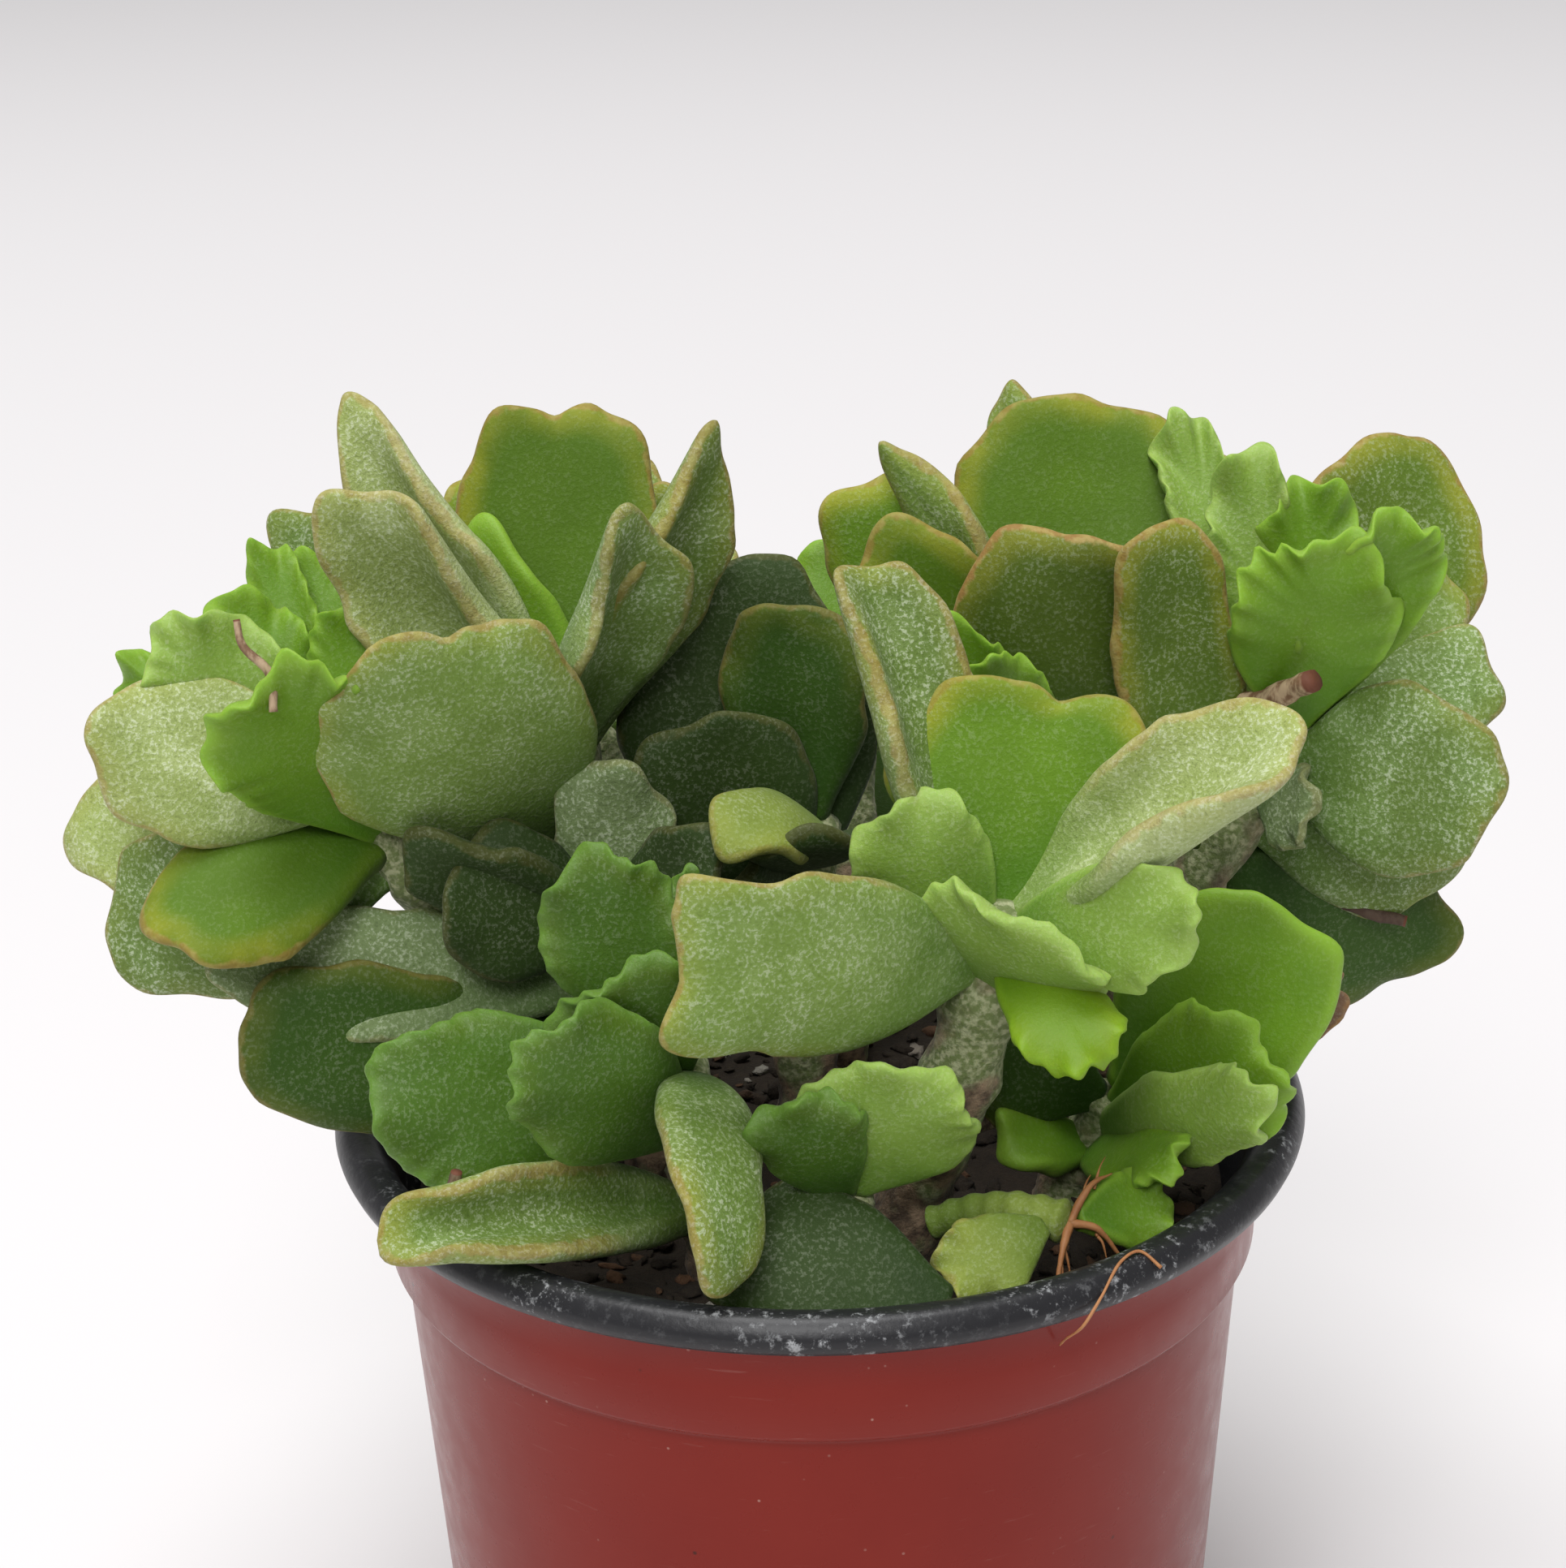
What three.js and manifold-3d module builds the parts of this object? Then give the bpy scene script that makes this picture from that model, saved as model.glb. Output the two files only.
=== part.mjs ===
// A crinkle-leaf plant in its two-tone nursery pot, in millimetres.
// +Z is up, the pot stands on Z = 0 with its axis on the Z axis, and the front of the plant faces -Y.
import * as THREE from "three";
import { mergeVertices } from "three/addons/utils/BufferGeometryUtils.js";
import Module from "manifold-3d";

const wasm = await Module();
wasm.setup();

// The pot, a 9 cm nursery pot with a collar below its rolled rim
const POT_HEIGHT = 78;
const RIM_RADIUS = 45;
const COLLAR_RADIUS = 41;
const COLLAR_TOP = 74;
const COLLAR_FOOT = 64.5;
const COLLAR_DRAFT = 0.3;
const BODY_TOP = 63.6;
const BODY_TOP_RADIUS = 39.4;
const BASE_RADIUS = 35.3;
const BASE_EDGE = 0.8;
const WALL = 1.2;
const FLOOR = 1.6;
const POT_SIDES = 40;
const DRAIN_HOLES = 8;
const DRAIN_HOLE_RADIUS = 3.5;
const DRAIN_HOLE_SIDES = 12;
const DRAIN_CIRCLE_RADIUS = 25;

// The clear space between two pieces that lie against each other
const GAP = 0.35;

// The soil, which touches the wall up to its shoulder and has a lumpy top
const SOIL_TOP = 68;
const SOIL_SHOULDER = 61.5;
const SOIL_LUMP = 0.8;
const SOIL_SIDES = 24;
const SOIL_RINGS = 3;
const SOIL_SEED = 5;

// The holes in the soil that the stems stand in
const HOLE_LENGTH = 14;
const HOLE_CLEARANCE = 0.9;
const HOLE_SIDES = 8;

// The mesh of a leaf: steps from stalk to tip on each side, the share of them along the straight sides,
// and the width from which a leaf gets a shelf, a ring of points that rounds its edge
const LEAF_STEPS = 6;
const SIDE_SHARE = 0.34;
const SHELF_FROM_WIDTH = 14.5;
const SHELF = 0.8;

// How far up the leaf its spine reaches, where its edge starts to wave and where it waves in full,
// how much thinner the tip is, how round the edge is, and how much faster the outline swings in and out
// than up and down
const SPINE_REACH = 0.74;
const WAVE_START = 0.25;
const WAVE_FULL = 0.6;
const TIP_THINNING = 0.3;
const EDGE_ROUND = 5;
const SCALLOP_RATE = 1.3;

// The stems, with the low knobs that old leaves leave on them
const STEM_STEPS = 7;
const STEM_SIDES = 7;
const KNOB_SWELL = 1.06;
const KNOB_RATE = 40;
const FIRST_STEM_SEED = 11;

// How far from the stem's axis a leaf starts, inside the stem, and how far up the stem the highest ones do
const LEAF_ROOT = 1.6;
const HIGHEST_LEAF = 0.94;

// The roots of the cutting that lies on the soil
const ROOT_RADIUS = 0.45;
const ROOT_ARCH = 1.2;
const ROOT_STEPS = 3;
const ROOT_SIDES = 4;

// How each kind of leaf is shaped. thick and stalk, the width of its foot, are in mm.
// The sides widen up to the shoulder, a share of the length: a higher neck keeps them narrow for longer.
// A higher crest makes the end squarer. waves is how often the edge swings between tip and stalk,
// ruffle how far it swings up and down, in mm, and scallop how far in and out, as a share.
const MATURE = {
  thick: 3,
  stalk: 4,
  shoulder: 0.56,
  crest: 2.1,
  neck: 1.3,
  waves: 2.6,
  ruffle: 0.8,
  scallop: 0.03,
};
const YOUNG = {
  thick: 2.4,
  stalk: 3.2,
  shoulder: 0.6,
  crest: 2.2,
  neck: 1.3,
  waves: 4.2,
  ruffle: 0.8,
  scallop: 0.04,
};
const SMALL = {
  thick: 1.8,
  stalk: 2.2,
  shoulder: 0.6,
  crest: 2.2,
  neck: 1.2,
  waves: 3.2,
  ruffle: 0.8,
  scallop: 0.04,
};

// Every stem: the points its axis runs through, its radius at the foot and at the top, and its leaves.
// A leaf starts on the axis, at a share of the way up, and ends at its tip.
// face is the way the blade looks, as a bearing from the front (90 is +X) and a height above the horizon.
// cup rolls the sides towards that face, bend curves the tip towards it and twist turns the blade on its way.
const STEMS = [
  {
    name: "stem_front_right",
    colour: "#8fae4c",
    foot: 3.2,
    top: 3.6,
    axis: [[7, -17, 58], [8, -17.5, 74], [12.5, -18.5, 88], [16.5, -18, 104]],
    leaves: [
      {
        kind: MATURE,
        at: 0.97,
        tip: [20, -12.5, 121.5],
        width: 24.5,
        face: [0, 18],
        cup: 8,
        bend: 8,
        shoulder: 0.5,
        crest: 2,
      },
      {
        kind: MATURE,
        at: 0.88,
        tip: [-12.5, -34, 105.5],
        width: 17.5,
        face: [-15, 5],
        cup: -10,
        bend: -35,
        shoulder: 0.56,
        crest: 3.4,
      },
      { kind: YOUNG, at: 0.82, tip: [17.5, -29.5, 106], width: 18, face: [-33, -33], cup: -10, bend: -10 },
      { kind: YOUNG, at: 0.92, tip: [31, -31, 107], width: 11, face: [0, 25], cup: -10, bend: -20 },
      { kind: YOUNG, at: 0.9, tip: [23, -33, 94.5], width: 9, face: [10, 35], cup: -10, bend: -35 },
      { kind: YOUNG, at: 0.9, tip: [5.5, -19, 112.5], width: 12, face: [-10, 10], cup: -10, bend: -10 },
      { kind: MATURE, at: 0.95, tip: [40.5, -24, 120], width: 17, face: [-60, 45], cup: 100, bend: 5 },
      {
        kind: MATURE,
        at: 0.88,
        tip: [4.5, -10, 132.5],
        width: 13.5,
        face: [35, 5],
        cup: 80,
        bend: 10,
        crest: 1.8,
      },
    ],
  },
  {
    name: "stem_upper_left",
    colour: "#7f9e4c",
    foot: 3.6,
    top: 3,
    axis: [[-13, 7, 58], [-16, 6, 80], [-21, 4, 98], [-22.5, 4, 112]],
    leaves: [
      {
        kind: MATURE,
        at: 0.97,
        tip: [-22.5, 14, 140],
        width: 20,
        face: [0, 15],
        cup: 8,
        bend: 10,
        shoulder: 0.55,
        crest: 2,
      },
      { kind: MATURE, at: 0.95, tip: [-31, 9, 129.5], width: 11, face: [-15, 10], cup: 10, bend: 10 },
      {
        kind: MATURE,
        at: 0.8,
        tip: [-36.5, -15, 126],
        width: 24,
        face: [0, 0],
        cup: -12,
        bend: -35,
        shoulder: 0.64,
        crest: 2.5,
      },
      { kind: MATURE, at: 0.9, tip: [-40.5, -2, 137], width: 15, face: [-15, 5], cup: 80, bend: 10 },
      {
        kind: MATURE,
        at: 0.95,
        tip: [-41.5, 12, 140.5],
        width: 12,
        face: [-20, 10],
        cup: 75,
        bend: 10,
        crest: 1.7,
      },
      {
        kind: MATURE,
        at: 0.95,
        tip: [-14.5, -6, 135],
        width: 16,
        face: [45, 0],
        cup: 70,
        bend: 10,
        crest: 1.7,
      },
      {
        kind: MATURE,
        at: 0.97,
        tip: [-7.5, 2, 139.5],
        width: 14,
        face: [50, 5],
        cup: 55,
        bend: 5,
        crest: 1.6,
      },
      { kind: MATURE, at: 0.85, tip: [-48, 16, 129.5], width: 14, face: [-20, 10], cup: 10, bend: 10 },
      { kind: MATURE, at: 0.97, tip: [-12, 19, 130], width: 10, face: [10, 10], cup: 10, bend: 10 },
    ],
  },
  {
    name: "rosette_left",
    colour: "#79b047",
    foot: 3,
    top: 2.6,
    axis: [[-21, 0, 58], [-26, -1, 78], [-35, -3, 99], [-43, -4, 112]],
    leaves: [
      { kind: YOUNG, at: 0.84, tip: [-46, -18, 125], width: 17, face: [0, 15], cup: 15, bend: 15 },
      { kind: YOUNG, at: 0.98, tip: [-57, -4, 124.5], width: 13, face: [-10, 25], cup: 10, bend: 10 },
      { kind: YOUNG, at: 1, tip: [-52, 3, 125.5], width: 10, face: [10, 25], cup: 10, bend: 10 },
      { kind: SMALL, at: 1, tip: [-49, 7, 129.5], width: 6, face: [10, 10], cup: 20, bend: 10 },
      { kind: SMALL, at: 1, tip: [-45, 9, 127], width: 9, face: [0, 10], cup: 10, bend: 10 },
      { kind: SMALL, at: 1, tip: [-40.5, 0, 126], width: 7, face: [10, 10], cup: 10, bend: 10 },
      { kind: MATURE, at: 0.92, tip: [-62.5, -9, 117.5], width: 15, face: [-10, 30], cup: -10, bend: -20 },
      { kind: MATURE, at: 0.86, tip: [-68, 2, 104], width: 15, face: [-10, 20], cup: -10, bend: -20 },
      { kind: MATURE, at: 0.8, tip: [-64, -4, 96], width: 18, face: [-5, 10], cup: -10, bend: -30 },
      { kind: MATURE, at: 0.84, tip: [-57.5, -16, 101], width: 14, face: [-5, 50], cup: -10, bend: -30 },
      { kind: YOUNG, at: 0.95, tip: [-63, 7, 117], width: 9, face: [-10, 35], cup: 10, bend: -10 },
    ],
  },
  {
    name: "rosette_front_left",
    colour: "#6ea640",
    foot: 2.6,
    top: 2.6,
    axis: [[-9.5, -16, 58], [-10, -18, 72], [-11.5, -20, 83], [-12.5, -21, 91]],
    leaves: [
      { kind: YOUNG, at: 0.85, tip: [-38, -30, 92], width: 15, face: [0, 25], cup: -10, bend: -10 },
      { kind: YOUNG, at: 0.75, tip: [-24, -35, 99], width: 14, face: [10, 15], cup: -10, bend: -30 },
      { kind: YOUNG, at: 1, tip: [-20, -18, 108.5], width: 13, face: [-10, 10], cup: 10, bend: 10 },
      { kind: YOUNG, at: 0.9, tip: [-17.5, -28, 102], width: 15, face: [0, 15], cup: -10, bend: -20 },
      { kind: SMALL, at: 1, tip: [-15.5, -16, 103], width: 8, face: [10, 10], cup: 10, bend: 10 },
      { kind: SMALL, at: 1, tip: [-10.5, -13, 105], width: 6, face: [20, 10], cup: 10, bend: 10 },
      {
        kind: MATURE,
        at: 1,
        tip: [-8.5, -41.5, 79],
        width: 10.5,
        face: [20, 25],
        cup: -20,
        bend: -110,
        twist: 40,
        shoulder: 0.5,
      },
      {
        kind: MATURE,
        at: 0.5,
        tip: [-35.5, -38, 83.5],
        width: 10.5,
        face: [0, 40],
        cup: 95,
        bend: -20,
        crest: 3.4,
      },
    ],
  },
  {
    name: "stem_back_right",
    colour: "#86a84b",
    foot: 3.4,
    top: 3,
    axis: [[13, 7, 58], [16, 8, 80], [22, 7, 98], [24, 7, 110]],
    leaves: [
      {
        kind: MATURE,
        at: 0.98,
        tip: [26, 20, 138],
        width: 25,
        face: [0, 15],
        cup: 8,
        bend: 10,
        shoulder: 0.5,
        crest: 2,
      },
      {
        kind: MATURE,
        at: 0.92,
        tip: [22.5, 4, 129.5],
        width: 22,
        face: [0, 0],
        cup: -10,
        bend: 0,
        shoulder: 0.5,
        crest: 2.1,
      },
      {
        kind: MATURE,
        at: 0.95,
        tip: [8, 12, 135.5],
        width: 8,
        face: [-35, 10],
        cup: 40,
        bend: 10,
        crest: 1.8,
      },
      { kind: MATURE, at: 0.85, tip: [4, 16, 131], width: 15, face: [-10, 10], cup: 10, bend: 10 },
      { kind: MATURE, at: 0.85, tip: [6.5, 7, 129], width: 15, face: [-10, 10], cup: 10, bend: 15 },
      { kind: MATURE, at: 1, tip: [19.5, 28, 137], width: 7, face: [-20, 10], cup: 10, bend: 10 },
      { kind: SMALL, at: 0.9, tip: [14.5, -2, 119.5], width: 8, face: [0, 10], cup: 10, bend: 10 },
      { kind: SMALL, at: 0.9, tip: [12.5, 1, 122], width: 5, face: [0, 10], cup: 10, bend: 10 },
    ],
  },
  {
    name: "rosette_right",
    colour: "#84b552",
    foot: 3.2,
    top: 2.8,
    axis: [[22, 4, 58], [27, 5, 78], [37, 4, 98], [45, 3, 112]],
    leaves: [
      {
        kind: YOUNG,
        at: 1,
        tip: [45, -5, 131],
        width: 15,
        face: [0, 15],
        cup: 15,
        bend: 15,
        shoulder: 0.55,
      },
      { kind: YOUNG, at: 1, tip: [52.5, -3, 132.5], width: 12, face: [20, 15], cup: 25, bend: 15 },
      { kind: YOUNG, at: 1, tip: [46, 9, 132.5], width: 10, face: [0, 15], cup: 10, bend: 10 },
      { kind: YOUNG, at: 0.98, tip: [39.5, 10, 135], width: 9, face: [0, 15], cup: 20, bend: 10 },
      { kind: YOUNG, at: 0.95, tip: [34, 17, 136.5], width: 8, face: [10, 15], cup: 20, bend: 10 },
      {
        kind: MATURE,
        at: 0.97,
        tip: [58.5, 18, 132],
        width: 21,
        face: [5, 10],
        cup: 8,
        bend: 10,
        shoulder: 0.5,
        crest: 2.1,
      },
      { kind: MATURE, at: 0.95, tip: [60, 12, 122], width: 10, face: [10, 25], cup: 10, bend: 10 },
      { kind: MATURE, at: 0.92, tip: [63, 6, 115], width: 12, face: [0, 40], cup: -10, bend: -10 },
      {
        kind: MATURE,
        at: 0.88,
        tip: [61, -7, 108.5],
        width: 18,
        face: [0, 12],
        cup: -8,
        bend: -20,
        shoulder: 0.5,
        crest: 2,
      },
      { kind: MATURE, at: 0.8, tip: [60, 4, 96.5], width: 14, face: [10, -5], cup: -10, bend: -20 },
      { kind: MATURE, at: 0.72, tip: [59.5, 8, 85.5], width: 17, face: [10, 0], cup: -10, bend: -20 },
      { kind: SMALL, at: 0.85, tip: [44.5, -5, 105], width: 8, face: [0, 10], cup: -10, bend: -20 },
      {
        kind: MATURE,
        at: 0.72,
        tip: [30.5, 0, 132],
        width: 12,
        face: [10, 8],
        cup: 25,
        bend: 10,
        crest: 2,
      },
    ],
  },
  {
    name: "rosette_low_right",
    colour: "#5f9a3c",
    foot: 2.8,
    top: 2.6,
    axis: [[20, -5, 58], [22, -6, 67], [25, -7, 74], [27, -8, 80]],
    leaves: [
      {
        kind: MATURE,
        at: 1,
        tip: [43.5, -11, 98],
        width: 19,
        face: [0, 15],
        cup: 10,
        bend: 10,
        shoulder: 0.5,
        crest: 2.1,
      },
      { kind: YOUNG, at: 0.9, tip: [39.5, -20, 89], width: 14, face: [0, 15], cup: -10, bend: -20 },
      { kind: YOUNG, at: 0.8, tip: [38, -27, 88.5], width: 9, face: [-10, 15], cup: -20, bend: -30 },
      { kind: YOUNG, at: 0.95, tip: [14, -11, 86], width: 12, face: [0, 10], cup: -10, bend: -10 },
      { kind: MATURE, at: 0.7, tip: [15.5, -14, 78], width: 7, face: [0, 50], cup: 10, bend: -20 },
      { kind: YOUNG, at: 0.65, tip: [31, -25, 81], width: 8, face: [-20, 50], cup: 10, bend: -20 },
      { kind: SMALL, at: 0.8, tip: [37.5, -13, 81], width: 6, face: [0, 30], cup: 10, bend: -20 },
      { kind: SMALL, at: 1, tip: [48, -7, 90], width: 9, face: [0, 10], cup: 20, bend: -10, crest: 1.6 },
    ],
  },
  {
    name: "rosette_front",
    colour: "#72aa46",
    foot: 2.3,
    top: 2.3,
    axis: [[1, -23, 58], [1.5, -25, 68], [2, -26, 76], [2, -26.5, 81]],
    leaves: [
      {
        kind: YOUNG,
        at: 1,
        tip: [8, -30, 93.5],
        width: 16,
        face: [10, 10],
        cup: -8,
        bend: -10,
        shoulder: 0.5,
      },
      { kind: YOUNG, at: 0.95, tip: [-3, -33, 92.5], width: 10, face: [-10, 15], cup: -10, bend: -20 },
    ],
  },
  {
    name: "stem_inner_left",
    colour: "#4f6f3a",
    foot: 3.2,
    top: 2.8,
    axis: [[-13, -3, 58], [-16, -3.5, 76], [-18, -4, 88], [-18, -4, 98]],
    leaves: [
      { kind: MATURE, at: 0.5, tip: [-51.5, -14, 91.5], width: 17, face: [-5, 15], cup: -10, bend: -20 },
      { kind: MATURE, at: 0.8, tip: [-53, -10, 95], width: 12, face: [-5, 30], cup: 15, bend: -20 },
      { kind: MATURE, at: 0.7, tip: [-32, -6, 90], width: 9, face: [0, 10], cup: 10, bend: 0 },
      { kind: MATURE, at: 0.95, tip: [-36, -11, 106.5], width: 10, face: [-30, 0], cup: 10, bend: 0 },
      { kind: MATURE, at: 0.98, tip: [-32.5, -12, 103], width: 14, face: [0, 25], cup: -10, bend: -10 },
      {
        kind: MATURE,
        at: 1,
        tip: [-18, -5, 112.5],
        width: 11,
        face: [0, 10],
        cup: -10,
        bend: 0,
        crest: 1.8,
      },
      { kind: MATURE, at: 1, tip: [-8, -10, 106], width: 9, face: [0, 30], cup: 10, bend: -10 },
    ],
  },
  {
    name: "stem_centre",
    colour: "#56803a",
    foot: 3,
    top: 2.8,
    axis: [[0, 2, 58], [-1, 2, 76], [-1, 3, 92], [0, 3, 104]],
    leaves: [
      {
        kind: MATURE,
        at: 0.75,
        tip: [-9.5, 9, 126],
        width: 24,
        face: [0, 10],
        cup: 10,
        bend: 10,
        shoulder: 0.5,
      },
      { kind: MATURE, at: 0.95, tip: [-2, 3, 124], width: 14, face: [-10, 10], cup: 10, bend: 15 },
      {
        kind: MATURE,
        at: 0.97,
        tip: [-8, -13, 106.5],
        width: 9,
        face: [-10, 40],
        cup: -10,
        bend: -70,
        neck: 0.8,
      },
      { kind: MATURE, at: 0.9, tip: [-1, -12, 107], width: 11, face: [0, 10], cup: -10, bend: -20 },
      { kind: MATURE, at: 0.8, tip: [-12.5, -1, 113.5], width: 17, face: [0, 10], cup: 10, bend: 0 },
      { kind: MATURE, at: 0.7, tip: [-8, -9, 100], width: 13, face: [0, 30], cup: -10, bend: -10 },
    ],
  },
  {
    name: "stem_back_left",
    colour: "#6f9445",
    foot: 3.4,
    top: 2.8,
    axis: [[-13, 19, 58], [-16, 21, 78], [-20, 25, 94], [-22, 28, 104]],
    leaves: [
      { kind: MATURE, at: 0.9, tip: [-47, 32, 113], width: 17, face: [90, 50], cup: 10, bend: 20 },
      { kind: MATURE, at: 0.92, tip: [-39, 47, 112], width: 18, face: [45, 50], cup: 10, bend: 20 },
      { kind: MATURE, at: 0.9, tip: [-22, 55, 112], width: 18, face: [0, 50], cup: 10, bend: 25 },
      { kind: MATURE, at: 0.94, tip: [-9, 45, 116], width: 15, face: [-45, 50], cup: 10, bend: 20 },
      { kind: MATURE, at: 1, tip: [-34, 36, 126], width: 16, face: [45, 25], cup: 15, bend: 15 },
      { kind: MATURE, at: 1, tip: [-19, 40, 127], width: 16, face: [-10, 20], cup: 15, bend: 15 },
      { kind: MATURE, at: 0.72, tip: [-42, 38, 97], width: 16, face: [60, 60], cup: 10, bend: 25 },
      { kind: MATURE, at: 0.7, tip: [-25, 47, 95], width: 15, face: [10, 60], cup: 10, bend: 25 },
      { kind: MATURE, at: 0.74, tip: [-48, 22, 100], width: 14, face: [90, 60], cup: 10, bend: 25 },
    ],
  },
  {
    name: "stem_back_centre",
    colour: "#7aa346",
    foot: 3,
    top: 2.6,
    axis: [[2, 21, 58], [3, 24, 78], [4, 29, 92], [4, 32, 100]],
    leaves: [
      { kind: YOUNG, at: 0.92, tip: [4, 58, 108], width: 18, face: [0, 50], cup: 10, bend: 20 },
      { kind: YOUNG, at: 0.94, tip: [20, 51, 111], width: 16, face: [-45, 50], cup: 10, bend: 20 },
      { kind: YOUNG, at: 0.85, tip: [-9, 54, 101], width: 15, face: [30, 60], cup: 10, bend: 20 },
      { kind: YOUNG, at: 1, tip: [6, 44, 117], width: 15, face: [0, 20], cup: 15, bend: 15 },
      { kind: YOUNG, at: 1, tip: [15, 35, 114], width: 12, face: [-60, 30], cup: 15, bend: 15 },
      { kind: YOUNG, at: 1, tip: [-5, 34, 115], width: 12, face: [60, 30], cup: 15, bend: 15 },
      { kind: YOUNG, at: 0.7, tip: [10, 51, 93], width: 15, face: [0, 70], cup: 10, bend: 20 },
    ],
  },
  {
    name: "stem_back_far_right",
    colour: "#6f9445",
    foot: 3.3,
    top: 2.8,
    axis: [[20, 18, 58], [24, 21, 78], [30, 25, 94], [32, 28, 103]],
    leaves: [
      { kind: MATURE, at: 0.9, tip: [56, 33, 112], width: 17, face: [-90, 50], cup: 10, bend: 20 },
      { kind: MATURE, at: 0.92, tip: [47, 48, 112], width: 17, face: [-45, 50], cup: 10, bend: 20 },
      { kind: MATURE, at: 0.9, tip: [31, 56, 110], width: 17, face: [0, 50], cup: 10, bend: 25 },
      { kind: MATURE, at: 1, tip: [41, 39, 126], width: 16, face: [-30, 20], cup: 15, bend: 15 },
      { kind: MATURE, at: 1, tip: [27, 43, 125], width: 15, face: [20, 20], cup: 15, bend: 15 },
      { kind: MATURE, at: 0.72, tip: [50, 40, 97], width: 15, face: [-60, 60], cup: 10, bend: 25 },
      { kind: MATURE, at: 0.7, tip: [34, 49, 95], width: 15, face: [-10, 60], cup: 10, bend: 25 },
      { kind: MATURE, at: 0.74, tip: [56, 23, 99], width: 14, face: [-90, 60], cup: 10, bend: 25 },
    ],
  },
  {
    name: "rooted_cutting",
    colour: "#6d8f43",
    foot: 1.4,
    top: 1.9,
    axis: [[9.5, -23, 75], [13, -24, 76.5], [17, -26, 77.5], [21, -28, 77.5]],
    roots: [[13.5, -29.5, 73.5], [19.5, -32, 72.5], [25.5, -28, 74], [25, -24, 80]],
    leaves: [
      { kind: SMALL, at: 0.9, tip: [10, -34, 75.5], width: 8, face: [0, 40], cup: -10, bend: -20 },
      { kind: SMALL, at: 1, tip: [30.5, -23, 76.5], width: 7, face: [0, 40], cup: 10, bend: 10 },
    ],
  },
];

// The large dark leaf that lies loose on the soil at the front
const FALLEN_LEAF = {
  kind: MATURE,
  from: [10, -35, 73.5],
  tip: [-9.5, -31.5, 78.5],
  width: 15,
  face: [0, 50],
  cup: -10,
  bend: -15,
  phase: 1,
};

const degrees = Math.PI / 180;

// A seeded random number generator, so that each build is alike
function seededRandom(seed) {
  let state = seed;
  return () => {
    state = (state * 1664525 + 1013904223) % 4294967296;
    return state / 4294967296;
  };
}

function solidOf(geometry) {
  const bare = geometry.clone();
  bare.deleteAttribute("normal");
  bare.deleteAttribute("uv");
  const merged = mergeVertices(bare, 1e-4);
  return new wasm.Manifold(
    new wasm.Mesh({
      numProp: 3,
      vertProperties: new Float32Array(merged.attributes.position.array),
      triVerts: new Uint32Array(merged.index.array),
    }),
  );
}

function geometryOf(solid) {
  const mesh = solid.getMesh();
  const geometry = new THREE.BufferGeometry();
  geometry.setAttribute("position", new THREE.BufferAttribute(new Float32Array(mesh.vertProperties), 3));
  geometry.setIndex(new THREE.BufferAttribute(new Uint32Array(mesh.triVerts), 1));
  geometry.computeVertexNormals();
  return geometry;
}

function geometryFrom(positions, triangles) {
  const geometry = new THREE.BufferGeometry();
  geometry.setAttribute("position", new THREE.Float32BufferAttribute(positions.flat(), 3));
  geometry.setIndex(triangles.flat());
  return geometry;
}

// A round bar along a curve, with a radius given for each share of the way along it
function taperedBar(points, radiusAt, steps, sides) {
  const curve = new THREE.CatmullRomCurve3(points.map((p) => new THREE.Vector3(...p)));
  const frames = curve.computeFrenetFrames(steps, false);
  const positions = [];
  for (let step = 0; step <= steps; step += 1) {
    const centre = curve.getPointAt(step / steps);
    for (let side = 0; side < sides; side += 1) {
      const angle = (side / sides) * 2 * Math.PI;
      const point = centre
        .clone()
        .addScaledVector(frames.normals[step], Math.cos(angle) * radiusAt(step / steps))
        .addScaledVector(frames.binormals[step], Math.sin(angle) * radiusAt(step / steps));
      positions.push(point.toArray());
    }
  }
  const triangles = [];
  for (let step = 0; step < steps; step += 1) {
    for (let side = 0; side < sides; side += 1) {
      const next = (side + 1) % sides;
      const low = step * sides;
      const high = low + sides;
      triangles.push([low + side, low + next, high + next], [low + side, high + next, high + side]);
    }
  }
  for (let side = 1; side < sides - 1; side += 1) {
    const last = steps * sides;
    triangles.push([0, side + 1, side], [last, last + side, last + side + 1]);
  }
  return solidOf(geometryFrom(positions, triangles));
}

// Half of a leaf's outline: t runs from the stalk to the tip.
// across is a share of the half width, along a share of the length.
function outlineAt(t, kind, stalkShare) {
  if (t < SIDE_SHARE) {
    const rise = t / SIDE_SHARE;
    const swell = Math.sin((rise * Math.PI) / 2) ** kind.neck;
    return { across: stalkShare + (1 - stalkShare) * swell, along: kind.shoulder * rise };
  }
  const turn = (((t - SIDE_SHARE) / (1 - SIDE_SHARE)) * Math.PI) / 2;
  return {
    across: Math.max(Math.cos(turn), 0) ** (2 / kind.crest),
    along: kind.shoulder + (1 - kind.shoulder) * Math.sin(turn) ** (2 / kind.crest),
  };
}

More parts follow.
